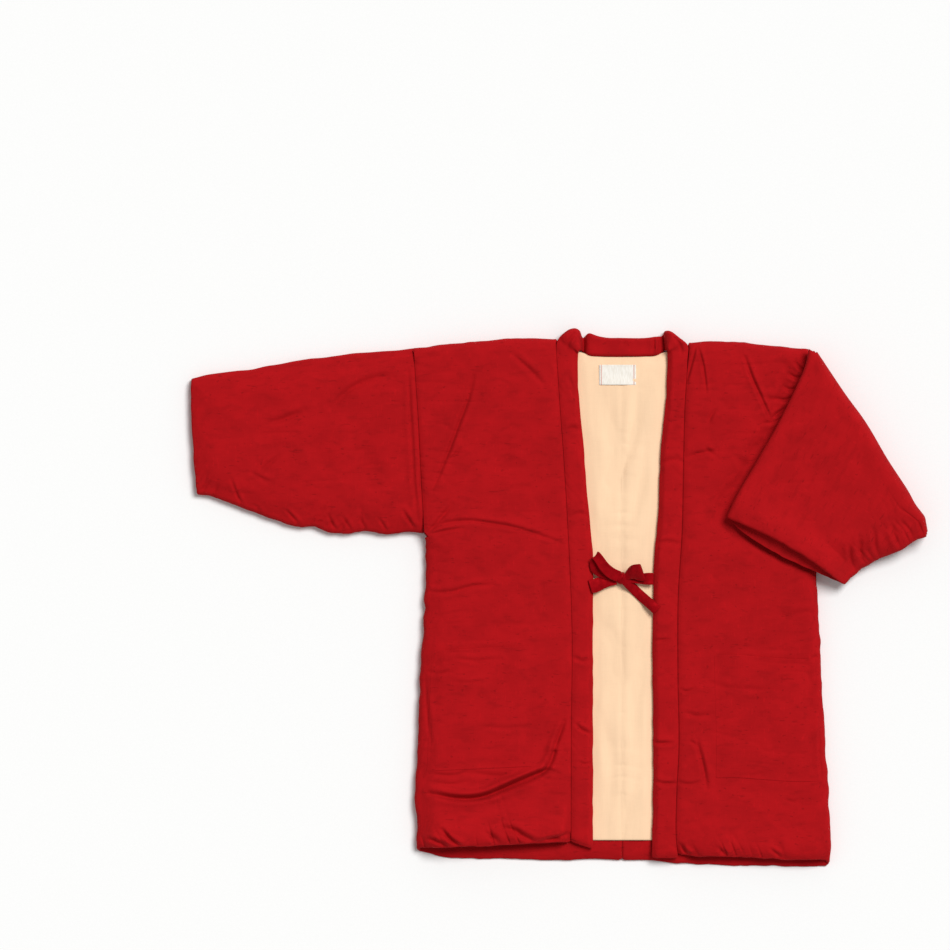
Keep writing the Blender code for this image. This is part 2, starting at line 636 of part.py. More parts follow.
def collar():
    """One band from the right front hem, round the back neck, to the left front hem."""
    rings = []

    def run(half, ys):
        for y in ys:
            outer_x = float(curve(half["seam"], y)) - half["out"] * SEAM / 2
            inner_x = float(curve(half["edge"], y))
            slant = max(0.0, 1 - (y - ys[0]) / COLLAR_SLANT_REACH) * COLLAR_SLANT if half is RIGHT else 0.0
            rings.append(collar_ring((inner_x, y), (outer_x, y + slant), COLLAR_REST, COLLAR_HEIGHT))

    ys = np.linspace(*COLLAR_RUN, COLLAR_STEPS)
    run(RIGHT, ys)
    rings += [collar_ring(row[0:2], row[2:4], row[4], row[5]) for row in COLLAR_NECK]
    run(LEFT, ys[::-1])
    ends = []
    for ring in (rings[0], rings[-1]):
        middle = np.mean(ring, axis=0)
        ends.append([tuple(middle + (np.array(p) - middle) * 0.6 - (0, RIM, 0)) for p in ring])
    rings = [ends[0], *rings, ends[1]]
    around = COLLAR_SIDES
    points = [p for ring in rings for p in ring]
    index = [list(range(n * around, (n + 1) * around)) for n in range(len(rings))]
    faces = split(
        [
            (a[k], a[(k + 1) % around], b[(k + 1) % around], b[k])
            for a, b in zip(index, index[1:])
            for k in range(around)
        ]
    )
    for ring, reverse in ((index[0], True), (index[-1], False)):
        fan = [(ring[0], ring[k], ring[k + 1]) for k in range(1, around - 1)]
        faces += [f[::-1] for f in fan] if reverse else fan
    return body_of("collar", points, faces, "red")


def ribbon(name, rows, colour, steps=3):
    """A flat tie along a path: x, y, z, the direction across it in degrees, and its width."""
    rows = np.array(rows, float)
    at = np.linspace(0, len(rows) - 1, (len(rows) - 1) * steps + 1)
    values = [curve(np.column_stack([np.arange(len(rows)), column]), at) for column in rows.T]
    middle = np.column_stack(values[:3])
    turn = np.radians(values[3])
    across = np.column_stack([np.cos(turn), np.sin(turn), np.zeros(len(at))])
    along = np.gradient(middle, axis=0)
    through = np.cross(along, across)
    through /= np.linalg.norm(through, axis=1)[:, None]
    half = values[4][:, None] / 2
    grid = [(middle + across * half * side) for side in (-1, 0, 1)]
    outer = [grid[c][r] + through[r] * TIE_WALL / 2 for r in range(len(at)) for c in range(3)]
    inner = [grid[c][r] - through[r] * TIE_WALL / 2 for r in range(len(at)) for c in range(3)]
    quads = [
        (r * 3 + c, (r + 1) * 3 + c, (r + 1) * 3 + c + 1, r * 3 + c + 1)
        for r in range(len(at) - 1)
        for c in range(2)
    ]
    return wall(name, outer, inner, quads, colour, rim=0, steps=0)


def knot():
    """The wrap of the bow: a rounded lump, turned as the ribbon crosses it."""
    mesh = bpy.data.meshes.new("bow_knot")
    shape = bmesh.new()
    bmesh.ops.create_uvsphere(shape, u_segments=12, v_segments=8, radius=0.5)
    for v in shape.verts:
        v.co.x *= KNOT_SIZE[0] * MM
        v.co.y *= KNOT_SIZE[1] * MM
        v.co.z *= KNOT_SIZE[2] * MM
    shape.to_mesh(mesh)
    shape.free()
    mesh.materials.append(finish("bow_knot", "red_dark"))
    mesh.shade_smooth()
    made = bpy.data.objects.new("bow_knot", mesh)
    made.location = [c * MM for c in KNOT]
    bpy.context.scene.collection.objects.link(made)


def label():
    """A blank woven label, sewn to the lining below the back neck."""
    outer, inner = [], []
    for i in range(3):
        for j in range(5):
            x = LABEL_MIDDLE[0] + LABEL_WIDTH * (j / 4 - 0.5)
            y = LABEL_MIDDLE[1] + LABEL_LENGTH * (i / 2 - 0.5)
            low = BODY_WALL + 2 * ON_PANEL + LINING_WALL + (0.8 if i == 0 and 0 < j < 4 else 0)
            outer.append((x, y, low + LABEL_WALL))
            inner.append((x, y, low))
    quads = [(i * 5 + j, i * 5 + j + 1, i * 5 + j + 6, i * 5 + j + 5) for i in range(2) for j in range(4)]
    return wall("label", outer, inner, quads, "white", rim=0, steps=0)


for name, half in (("right", RIGHT), ("left", LEFT)):
    panel, out_points, in_points, front, back = body("body_" + name, half)
    flip = half["out"] > 0
    overlay("pocket_" + name, out_points, front, POCKET_ROWS, POCKET_COLUMNS, POCKET_WALL, "red", flip)
    first = len(COLUMNS)
    overlay(
        "lining_" + name, in_points, back, (LINING_ROW, len(back) - 1),
        (first, first + len(BACK_COLUMNS) - 1), LINING_WALL, "cream", flip,
        last_x=CENTRE_BACK + half["out"] * SEAM / 2,
    )
sleeve_right()
sleeve_left()
collar()
for name, rows in RIBBONS.items():
    ribbon(name, rows, "red_dark")
knot()
label()
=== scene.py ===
"""The looks of a padded hanten that lies flat and face up, with its left sleeve folded over the front.

Tables are in millimetres, in the frame of the CAD: +X to the viewer's right, +Y towards the neck, and Z = 0 is
the surface that it lies on. Right and left are the wearer's.
"""

import math

import bmesh
import bpy
import numpy as np
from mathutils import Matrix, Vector


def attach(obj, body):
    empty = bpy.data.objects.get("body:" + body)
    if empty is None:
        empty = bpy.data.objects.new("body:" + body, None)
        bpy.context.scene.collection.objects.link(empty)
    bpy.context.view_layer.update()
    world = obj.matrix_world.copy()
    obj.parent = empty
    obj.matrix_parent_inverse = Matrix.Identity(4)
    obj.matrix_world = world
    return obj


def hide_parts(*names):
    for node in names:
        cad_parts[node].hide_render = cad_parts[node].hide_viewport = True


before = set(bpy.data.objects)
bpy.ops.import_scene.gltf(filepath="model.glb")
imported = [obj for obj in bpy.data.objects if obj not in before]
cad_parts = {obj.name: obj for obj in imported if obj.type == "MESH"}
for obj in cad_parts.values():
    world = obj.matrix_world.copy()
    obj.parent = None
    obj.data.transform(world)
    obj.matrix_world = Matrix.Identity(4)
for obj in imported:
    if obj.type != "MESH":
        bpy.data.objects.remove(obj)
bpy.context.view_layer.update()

# Sizes
MM = 0.001
GRID = 4.6  # spacing of the points on the body, before the front's are doubled where it is creased
SLEEVE_GRID = 2.1
FRONT_SPAN, SLEEVE_SPAN = (215, 760), (255, 335)  # for the number of points: across and up, and up and along
BODY_WALL, SLEEVE_WALL = 12.0, 11.0  # padded layers
BETWEEN = 1.0  # room between the two layers
THIN_AT_SEAMS = 0.7
THIN_LEAST = 0.9  # a front is nowhere thinner than this, in its deepest crease too
SWELL = 38.0  # a free edge thins the padding over this width
SEWN, FOLDED = (24, 2), (8, 1.6)  # seams and folds thin it less: their distances start here and grow faster
SEAM = 0.04  # room between pieces that are sewn together
RIM = 2.4  # how far a free edge rounds out
SEAM_RIM = 0.1  # the rim is tight where pieces are sewn together
FOLD_REACH = 6.5  # how far a fold rounds out
HEM_ROLL = 22.0  # the front turns down to its hem over this width, and the back over less
BACK_ROLL, BACK_LOW = 15.0, 0.25
HEM_SINK = 0.45  # share of the back's thickness that is pressed out of its hem, under the fronts
HEM_LIFTED = 38.0  # the front's hem stands up over this width
RIDGE_AWAY, RIDGE_WIDE = 2.1, 1.5  # the ridges beside a crease, in widths of the crease
SEAM_DIP, SEAM_REACH = 1.9, 4.6  # how far the cloth sinks into a seam between pieces, and over what width
ARMHOLE_FADE, ARMHOLE_LEAST = (235, 300), 0.35  # the armhole's seam is drawn in less near the shoulder
ARMPIT, ARMPIT_Y = 0.624, 92  # as a share of the way from the hem to the shoulder, and on the plan
CENTRE_BACK = 94.5
COLLAR_HEIGHT, COLLAR_REST = 13.0, 14.3  # the band's thickness, and the height at which it lies on the fronts
COLLAR_ENDS, COLLAR_TOP = (-376.0, -389.5), 335.0  # its straight runs: the lower ends, right and left, and the top
COLLAR_COLUMNS, COLLAR_STEP = 28, 2.2  # points across it, and the distance from ring to ring
COLLAR_FOLD_ROUND = 4.6  # radius at the inner, folded edge
COLLAR_SEWN_ROUND = 0.25  # radius at the outer edge, sewn to the front
COLLAR_FREE_ROUND = 4.5  # radius at the outer edge round the neck
COLLAR_FOLD_THIN = 0.66  # share of the height that is left at the folded edge
COLLAR_SLANT, COLLAR_SLANT_REACH = 11.0, 60.0  # the band's end slants up to its seam on the right
COLLAR_END_ROLL = (14.0, 0.3)  # its ends are thinner over this width, down to this share
LINING_WALL, LINING_RIM = 1.4, 0.02
LINING_INSET = 1.5  # its outer edge is this far in from the collar's seam
LINING_FOOT = -364.0  # the lining's lower end, above the back's hem
POCKET_WALL = 1.5
POCKET_ACROSS = (0.045, 0.735)  # shares of the way from the side to the collar seam
POCKET_UP = (0.153, 0.394)  # shares of the way from the hem to the shoulder
POCKET_POINTS, LINING_POINTS = (90, 100), (45, 300)  # across and up
ON_PANEL = 0.3  # room under a piece that lies on another
LABEL_MIDDLE, LABEL_SIZE = (88.0, 334.0), (55.0, 30.0)
LABEL_LIFT, LABEL_CURL = 1.2, 1.6  # above the lining, and at its lower edge
LABEL_WALL, ON_LABEL = 0.5, 0.62  # its thickness, and the height of the stitches' middle above its underside
TIE_WALL = 1.2
TIE_STEPS = 9  # points across a ribbon, and from each row of its table to the next
KNOT, KNOT_SIZE, KNOT_TURN = (94.0, 28.8, 23.0), (15.0, 18.5, 12.0), math.radians(-18)

# The left sleeve: its stub goes out from the armhole, and its flap comes back over the front
STUB_START = np.array([(375.5, 362.0), (387.8, 106.0)])
STUB_CORNER = (392.0, 92.0)
STUB_HEIGHT = 26.3
FLAP_HEIGHT = 21.0
FLAP_LENGTH, CUFF_AWAY = 190, 180  # its length as puckers count it, along its seam and away from its cuff
FLAP_PRESS = 6.6  # the front gives this much under the folded sleeve's edge
FOLD_FLATNESS = 0.6  # the fold bulges out by this share of its height
SLEEVE_WIDTH = 250.0
SAG, SAG_REACH = 19.0, 62.0  # how far it sinks where nothing carries it, and over what width
CUFF_BACK, CUFF_OUT = 8.0, 11.0  # the mouth's upper lip bows back and its lower lip out
CUFF_LIFT, CUFF_OPEN = 9.0, 5.0  # the mouth stands up, and its upper lip this much higher again
CUFF_END, MOUTH_DEEP = 0.98, 0.68  # shares of the way along the flap: its cuff, and how far in its mouth goes
MOUTH_LOW, MOUTH_HIGH = 0.1, 0.58  # the mouth's two lips, as shares of the sleeve's thickness
MOUTH_SHUT = (0.48, 0.52)  # the same, deep inside, where the lips meet
MOUTH_REACH = 2.0  # how far the mouth's corners round out
STUB_RINGS, FOLD_RINGS, FLAP_RINGS, MOUTH_RINGS = 12, 9, 92, 14  # rings of points along each stretch of it

LATTICE = 256
RANDOM = np.random.RandomState(11).uniform(-1, 1, (64, LATTICE, LATTICE))  # for the soft unevenness of cloth

# Outlines of the halves. Rows of (y, x) for edges that run up the garment, and of (x, y) for those across.
RIGHT = {
    "out": -1,
    "side": (
        (-381, -216), (-345, -213), (-298, -217.5), (-230, -213), (-140, -210), (-62, -205),
        (0, -202), (95, -201),
    ),
    "armhole": ((88, -202), (180, -207), (270, -211.5), (355, -217), (376, -218)),
    "seam": ((-380, 18), (-200, 18.5), (-50, 19.5), (100, 13.5), (225, 6), (300, 0.5), (390, -5)),
    "edge": ((-379, 51), (-4, 51), (68, 51), (116, 46.5), (176, 40.5), (236, 36), (296, 30), (340, 28)),
    "shoulder": ((-220, 374), (-178, 379), (-118, 385), (-58, 389), (-5, 388.5), (60, 388)),
    "front_hem": ((-216, -377), (-138, -374.5), (-63, -371.5), (19, -367)),
    "hem_lift": ((-216, 3), (-196, 9), (-160, 18), (-110, 18), (-70, 14), (-20, 10), (19, 8)),
    "back_hem": (
        (-216, -381), (-196, -384.5), (-178, -388.5), (-88, -392), (0, -394.5), (50, -392), (95, -394),
    ),
    "neck": ((-6, 383), (8, 375), (27, 369.5), (37, 366.6), (46, 362.6), (60, 361.2), (95, 360.7)),
}
LEFT = {
    "out": 1,
    "side": (
        (-402, 406.5), (-375, 408), (-340, 408), (-310, 404), (-288, 405), (-230, 400.5), (-150, 396),
        (-82, 393), (-40, 391), (0, 388), (95, 386),
    ),
    "armhole": ((88, 387), (230, 381), (376, 373)),
    "seam": (
        (-385, 178), (-367, 176), (-304, 176), (-229, 179.5), (-109, 178), (1, 178.5), (101, 184.5),
        (202, 186.5), (301, 189.5), (382, 196),
    ),
    "edge": (
        (-381, 139.5), (-300, 141), (0, 141), (56, 142.5), (116, 148.5), (224, 153), (296, 160.5),
        (340, 162.5),
    ),
    "shoulder": ((95, 383), (190, 383), (271, 383), (301, 379.5), (361, 374.5), (386, 372)),
    "front_hem": ((176, -386), (200, -389), (271, -389.5), (310, -392), (346, -394.5), (404, -393)),
    "hem_lift": ((176, 4), (240, 8), (330, 8), (404, 4)),
    "back_hem": (
        (94, -394), (136, -394), (181, -399.5), (241, -402), (301, -402.5), (391, -403), (407, -401),
    ),
    "neck": ((95, 360.7), (128, 361.3), (146, 362.8), (155, 367), (165, 369), (180, 371), (197, 377)),
}
SLEEVE_TOP = (
    (-553, 329), (-523, 335), (-451, 344.5), (-415, 351.5), (-343, 362), (-307, 366.5), (-259, 370),
    (-216, 374),
)
SLEEVE_SEAM = (
    (-545, 154), (-520, 150.5), (-499, 143), (-478, 134), (-440, 121), (-415, 112), (-388, 105),
    (-368, 105.5), (-343, 97), (-321, 95), (-291, 98.5), (-259, 93.5), (-224, 97.5), (-200, 96),
)
CUFF = ((150, -543), (164, -544.5), (224, -549.5), (272, -552.5), (330, -552.5))

# Creases: the width and depth of each, and the points that it follows
FRONT_CREASES = (
    (2.8, 2.6, (-128, 332), (-137, 296), (-150, 262), (-163, 226), (-190, 160)),
    (2.2, 1.4, (-166, 206), (-156, 214), (-148, 224)),
    (3.7, 2.1, (-69, 364), (-48, 345), (-24, 322)),
    (2.8, 2.4, (-198, 98), (-182, 108), (-163, 113), (-138, 115), (-114, 113), (-63, 104), (2, 83)),
    (3.1, 2.6, (-199, 95), (-180, 116), (-160, 140)),
    (2.5, 2.1, (-198, 94), (-170, 100), (-146, 104)),
    (3.1, 2.1, (-198, 7), (-160, 9), (-130, 17), (-99, 19)),
    (3.8, 9.4, (-193, -294), (-156, -301), (-128, -301), (-107, -296.5), (-87, -288), (-64, -277),
     (-40, -267), (-23, -261), (-14, -249), (-7, -233)),
    (4.6, 6.2, (-90, -293), (-70, -284.5), (-50, -276.5), (-28, -267.5)),
    (3, 2.6, (-32, -263), (-18, -259.5), (-4, -262)),
    (3.2, 4, (-12, -243), (-4, -218), (8, -186)),
    (3.7, 1.6, (-140, -262), (-84, -268), (-40, -258)),
    (3, 4.6, (-196, -362), (-184, -366), (-171, -374)),
    (2.8, 5.4, (-176, -348), (-163, -363), (-144, -376)),
    (4.2, 5, (-84, -345), (-66, -350), (-55, -357), (-33, -368)),
    (4, 3.2, (-110, -352), (-96, -362), (-90, -370)),
    (3.2, 4.2, (-16, -366), (-2, -360), (13, -355)),
    (3, 3.6, (-40, -372), (-12, -362), (8, -366)),
    (3.1, 1.8, (-201, -118), (-197, -180), (-192, -220)),
    (2.6, 1.2, (-156, -92), (-120, -95), (-89, -91)),
    (2.8, 1.3, (-200, -112), (-178, -114), (-157, -110)),
    (2.4, 1, (-160, -126), (-130, -128), (-108, -124)),
    (3, 1, (-122, -194), (-80, -196), (-38, -192)),
    (2.4, 1.2, (-193, -264), (-165, -267), (-138, -263)),
    (2.4, 1, (-190, -278), (-160, -280), (-134, -276)),
    (14, 0.9, (-150, 52), (-120, 40), (-60, 48)),
    (16, 1.1, (-110, 240), (-84, 200), (-60, 190)),
    (2.6, 3.4, (279, 360), (284, 345), (291, 326), (303, 300), (318, 266)),
    (2.4, 3, (372, 340), (362, 344), (356, 352)),
    (2.6, 3.2, (366, 330), (354, 330), (344, 336)),
    (2.6, 3, (360, 314), (346, 312), (338, 316)),
    (2.6, 2.6, (352, 300), (338, 296), (326, 298)),
    (2.6, 3, (340, 284), (328, 276), (320, 268)),
    (2.6, 2, (332, 268), (318, 262), (306, 262)),
    (3.1, 2.2, (192, 209), (206, 215), (237, 221)),
    (3.1, 2.9, (207, -214), (214, -244), (218, -262), (222, -286)),
    (1.9, 2.4, (206, 379), (199, 352), (191, 322)),
    (1.9, 2.3, (208, 377), (216, 348), (221, 308)),
    (4.3, 1.2, (226, -128), (258, -136), (330, -140)),
    (2.4, 1.5, (182, -138), (192, -141), (203, -137)),
    (3.5, 1.5, (187, -172), (208, -178), (230, -174)),
    (2.6, 1.5, (196, -216), (201, -218), (206, -222)),
    (2.6, 1.5, (177, -277), (196, -280), (215, -276)),
    (3, 1.1, (340, -304), (352, -307), (362, -303)),
    (3, 2.2, (234, 281), (228, 272), (224, 262)),
    (4, 1.7, (305, 303), (318, 297), (333, 299)),
    (3, 1.6, (219, 225), (228, 217), (236, 213)),
    (2.5, 2.3, (380, -92), (392, -84), (397, -74)),
    (2.5, 4.1, (183, -372), (190, -382), (200, -388)),
    (3, 3.9, (240, -376), (247, -384), (252, -390)),
    (2.5, 2.6, (318, -378), (328, -386), (332, -392)),
    (14, 1, (240, 20), (300, 30), (372, 22)),
    (5, 1.3, (330, -30), (370, -22), (392, -30)),
    (2.5, 1.8, (395, -150), (391, -215), (393, -270)),
)
SLEEVE_CREASES = (
    (4.3, 3.1, (-436, 262), (-412, 268), (-382, 281)),
    (4.3, 3.4, (-340, 284), (-319, 308), (-296, 322), (-274, 330), (-250, 331)),
    (3.1, 2.1, (-448, 185), (-440, 196), (-421, 212)),
    (3.1, 1.6, (-461, 187), (-445, 178), (-431, 173)),
    (2, 1.8, (-492, 178), (-484, 156), (-473, 135)),
    (2, 2.2, (-454, 136), (-442, 118)),
    (2, 2.4, (-410, 131), (-400, 121), (-388, 107)),
    (2, 2.4, (-346, 124), (-340, 110), (-331, 98)),
    (2, 1.8, (-325, 121), (-316, 108), (-309, 97)),
    (2, 2, (-298, 118), (-292, 106), (-284, 99)),
    (2, 2.2, (-270, 118), (-262, 106), (-258, 95)),
    (2.4, 2.8, (-234, 130), (-224, 114), (-214, 100)),
    (2.6, 2.3, (-226, 340), (-224, 290), (-221, 240), (-218, 180), (-212, 112)),
    (16, 1.3, (-380, 235), (-352, 205), (-345, 170)),
    (18, 1.2, (-300, 250), (-290, 200), (-282, 170)),
)
FLAP_CREASES = (
    (3.1, 3.6, (460, 50), (452, 66), (452, 90)),
    (2.5, 2.9, (444, 42), (437, 58), (436, 78)),
    (3.1, 3.4, (481, 60), (474, 78), (473, 102)),
    (3.1, 3.9, (512, 73), (505, 88), (499, 106)),
    (2.5, 3.1, (531, 88), (526, 100), (514, 114)),
    (2.2, 3.1, (543, 96), (541, 112), (545, 128)),
    (20, 1.1, (420, 250), (400, 200), (392, 160)),
    (20, 1, (330, 190), (370, 150), (420, 130)),
)
COLLAR_CREASES = (
    (1.9, 5, (142, 391), (142.5, 378), (141, 366)),
    (2.4, 3, (104, 391), (102, 384), (99, 376)),
    (2.2, 2.4, (24, 396), (16, 386), (12, 374)),
    (2.6, 2.2, (170, 394), (180, 382), (184, 366)),
    (2.6, 1.4, (14, 330), (20, 318), (22, 300)),
    (2.2, 3.4, (26, -190), (34, -198), (48, -204)),
    (1.9, 2.3, (30, -247), (38, -250), (48, -248)),
    (2.2, 2.6, (143, -66), (152, -64), (164, -63)),
    (2.5, 3.9, (143, -217), (152, -219), (168, -218)),
    (2.5, 3.1, (143, -276), (158, -279), (178, -279)),
    (3.1, 2.1, (22, -90), (36, -96), (50, -92)),
    (3.7, 2.1, (10, 250), (22, 254), (34, 248)),
    (3.7, 1.8, (150, 200), (170, 206), (186, 204)),
    (3.1, 1.8, (144, 80), (162, 84), (182, 80)),
    (3.1, 1.8, (16, 120), (30, 126), (46, 122)),
)
LINING_CREASES = (
    (9, 2.6, (121, 312), (118, 284), (114, 255), (104, 214), (78, 178)),
    (12, 1.8, (70, 300), (80, 260), (84, 210), (76, 140)),
    (9, 1.8, (128, 220), (122, 160), (110, 120), (96, 90)),
    (11, 1.5, (66, -40), (84, -70), (88, -130)),
    (11, 1.6, (128, -80), (116, -140), (112, -220)),
    (10, 1.4, (64, -180), (80, -240), (78, -310)),
    (9, 1.4, (120, -260), (106, -310), (100, -350)),
)

# The left sleeve after its fold. Rows of (share of the way from the fold to the cuff, x, y).
FLAP_TOP = (
    (0, 374.5, 373), (0.09, 370.5, 352), (0.23, 355.5, 316), (0.45, 326, 257), (0.7, 290, 194),
    (0.89, 263, 147), (1, 250, 117),
)
FLAP_SEAM = (
    (0, 552, 92), (0.1, 540, 89), (0.33, 512, 71), (0.53, 485, 60), (0.65, 469, 52), (0.83, 447, 38),
    (1, 427, 18),
)
# Its folded edge, as the share of the way from the shoulder to the seam, x and y
FOLD_EDGE = (
    (0, 385, 372), (0.23, 430, 305), (0.38, 459, 265), (0.58, 493.5, 206.5), (0.78, 525.5, 157.5),
    (0.86, 536, 138.5), (0.91, 545, 126.5), (0.935, 549, 120.5), (0.96, 551, 111), (1, 553.5, 97),
)
# The line along which the flap presses on the front
FLAP_RIM = (
    (377, 384), (366, 352), (351, 316), (322, 257), (286, 194), (246, 117), (335, 69), (427, 18), (440, -20),
)

# Turn of the collar round the neck: inner x and y, outer x and y, underside and height
COLLAR_NECK = (
    (28, 352, -3.5, 362, COLLAR_REST, COLLAR_HEIGHT),
    (28.5, 364, -3.0, 384, COLLAR_REST, COLLAR_HEIGHT),
    (29.5, 369, 9.0, 398, 10.0, 20.0),
    (31.5, 370.5, 22.0, 403.5, 4.0, 24.0),
    (34.0, 370, 31.0, 400, 0.0, 20.0),
    (36.5, 367.5, 36.0, 389, 0.0, 6.0),
    (43.0, 363.5, 45.0, 396, 0.0, 16.0),
    (58.0, 362, 62.0, 391, 0.0, 16.5),
    (94.5, 361.2, 94.5, 389, 0.0, 16.5),
    (128.0, 361.8, 130.0, 389, 0.0, 16.5),
    (148.0, 363.6, 144.0, 391, 0.0, 16.0),
    (155.5, 368, 153.5, 392, 0.0, 9.0),
    (158.0, 370, 156.0, 395, 0.0, 6.0),
    (160.5, 371, 159.0, 400, 0.0, 20.0),
    (161.5, 372, 168.0, 399, 4.0, 24.0),
    (162.5, 370, 180.0, 390, 10.0, 20.0),
    (163.0, 364, 193.5, 378, COLLAR_REST, COLLAR_HEIGHT),
    (163.0, 350, 193.0, 358, COLLAR_REST, COLLAR_HEIGHT),
)

# Ties of the bow: x, y, z, the direction across the ribbon in degrees, its width, and its tilt in degrees
RIBBONS = {
    "tie_right_band": (
        (47, 16.5, 28, 108, 19), (54, 17.5, 26.6, 104, 20), (64, 21.5, 24.4, 96, 19), (74, 23.5, 22.9, 92, 14),
        (86.2, 24.2, 22, 95, 9),
    ),
    "tie_right_loop": (
        (89.5, 31.5, 27.4, 64, 16), (78, 37, 31.5, 56, 16), (68, 46, 35.2, 42, 15), (60, 57.5, 36.6, 42, 13.8),
        (55, 62.6, 35.4, 44, 13.4), (52.2, 56, 32, 40, 13.6), (54.5, 44, 28.8, 36, 14), (63, 36, 26.6, 56, 12),
        (76, 31.5, 25.4, 74, 9), (84.6, 30.5, 24.6, 80, 7),
    ),
    "tie_left_band": (
        (141.3, 28, 23, 90, 17), (132, 28, 24, 90, 17), (120, 28, 22.5, 90, 14), (103.5, 28, 21.5, 90, 10),
    ),
    "tie_left_loop": (
        (98.5, 33, 27.4, 78, 15, 0), (104, 36.4, 31, 80, 20, 18), (110.5, 38.0, 34, 84, 24, 30),
        (118, 38.2, 35.5, 88, 26, 34), (124.5, 37, 34, 100, 27, 24), (126.5, 36.5, 30.5, 102, 24, 0),
        (119, 35, 27, 92, 18, 0), (110, 33.8, 25.4, 84, 9, 0), (103.6, 33, 24.2, 84, 6, 0),
    ),
    "tie_left_tail": (
        (96, 30, 30.0, 60, 11.5, 0), (101, 24, 27.0, 54, 13.5, 0), (112, 13, 19.0, 50, 14, -6),
        (124, 1.5, 18.6, 50, 14.5, -4), (136, -9, 25, 50, 14.5, 0), (147, -18.8, 27.6, 47, 15, 0),
    ),
}


# Shapes of cloth


def curve(rows, at):
    """The smooth value at each place, from rows of place and value in rising order of place."""
    place, value = np.array(rows, float).T
    slope = np.gradient(value, place)
    at = np.clip(at, place[0], place[-1])
    k = np.clip(np.searchsorted(place, at) - 1, 0, len(place) - 2)
    width = place[k + 1] - place[k]
    t = (at - place[k]) / width
    ends = value[k] * (1 + 2 * t) * (1 - t) ** 2 + value[k + 1] * t * t * (3 - 2 * t)
    return ends + width * (slope[k] * t * (1 - t) ** 2 - slope[k + 1] * t * t * (1 - t))


def path(rows, at):
    """Points along rows of (share, x, y)."""
    rows = np.array(rows, float)
    return np.stack([curve(rows[:, [0, 1]], at), curve(rows[:, [0, 2]], at)], -1)


def samples(rows, steps):
    """Smooth values along rows, with this many steps from each row to the next."""
    last = len(rows) - 1
    at = np.linspace(0, last, last * steps + 1)
    columns = np.array(rows, float).T
    return np.stack([curve(np.column_stack([np.arange(last + 1), c]), at) for c in columns], -1)


def mix(a, b, share):
    return a + (b - a) * share


def least(*values):
    return np.minimum.reduce(np.broadcast_arrays(*values))


def unit(vector):
    return vector / (np.linalg.norm(vector) or 1)


def spots(x, y, z):
    """Points from their plan position and height."""
    return np.stack(np.broadcast_arrays(x, y, z), -1)


def half_turn(steps):
    """Angles of the points round an edge, from below to above."""
    return np.linspace(-math.pi / 2, math.pi / 2, steps + 2)[1:-1]


def rise(low, high, at):
    """A smooth step from 0 at low to 1 at high."""
    t = np.clip((at - low) / (high - low), 0, 1)
    return t * t * (3 - 2 * t)


def bell(distance, reach):
    """1 where the distance is 0, and less further away."""
    return np.exp(-((distance / reach) ** 2))


def uneven(x, y, size, layer):
    """Smooth random unevenness from -1 to 1, with bumps about this far across."""
    u, v = np.asarray(x, float) / size, np.asarray(y, float) / size
    i, j = np.floor(u).astype(int), np.floor(v).astype(int)
    s, t = rise(0, 1, u - i), rise(0, 1, v - j)
    grid = RANDOM[layer % len(RANDOM)]
    a, b, c, d = (grid[(i + across) % LATTICE, (j + up) % LATTICE] for up in (0, 1) for across in (0, 1))
    return mix(mix(a, b, s), mix(c, d, s), t)


def ragged(along, *waves):
    """Unevenness along an edge, from waves of height, length and layer."""
    return sum(height * uneven(along, 0 * along, size, layer) for height, size, layer in waves)


def swell(distance):
    """The share of the padding's thickness that is left this far from an edge."""
    share = np.clip(distance / SWELL, 0, 1)
    return THIN_AT_SEAMS + (1 - THIN_AT_SEAMS) * np.sin(share * math.pi / 2)


def eased(distance, kind):
    """The distance that counts for the swell, from a seam or fold."""
    return kind[0] + kind[1] * distance


def roll(distance, reach, low=0.12):
    """The share of the thickness that is left where padded cloth turns down to its hem."""
    return low + (1 - low) * np.sqrt(1 - (1 - np.clip(distance / reach, 0, 1)) ** 2)


def seam_dip(distance):
    return -SEAM_DIP * np.exp(-((np.maximum(distance, 0) / SEAM_REACH) ** 1.4))


def armhole_depth(y):
    return mix(1.0, ARMHOLE_LEAST, rise(*ARMHOLE_FADE, y))


def from_line(points, x, y):
    """Distance from a smooth line, the share of the way along it, and the side that the place is on."""
    line = samples(points, 4)
    steps = np.hypot(*np.diff(line, axis=0).T)
    near, along, side = np.full(np.shape(x), 1e9), np.zeros(np.shape(x)), np.zeros(np.shape(x))
    for k, ((ax, ay), (bx, by)) in enumerate(zip(line, line[1:])):
        t = np.clip(((x - ax) * (bx - ax) + (y - ay) * (by - ay)) / steps[k] ** 2, 0, 1)
        away = np.hypot(x - mix(ax, bx, t), y - mix(ay, by, t))
        closer = away < near
        near = np.where(closer, away, near)
        along = np.where(closer, (steps[:k].sum() + t * steps[k]) / steps.sum(), along)
        side = np.where(closer, np.sign((bx - ax) * (y - ay) - (by - ay) * (x - ax)), side)
    return near, along, side


def creased(creases, x, y):
    """Height that creases add: each is a soft trough that fades at its ends, with a low ridge on both sides."""
    height = np.zeros(np.shape(x))
    for width, depth, *points in creases:
        near, along, side = from_line(points, x, y)
        fade = np.sqrt(np.sin(math.pi * np.clip(along, 0.03, 0.97)))
        ridge = 0.5 * (1 + 0.4 * side) * bell(near - RIDGE_AWAY * width, RIDGE_WIDE * width)
        height += depth * fade * (ridge - bell(near, width))
    return height


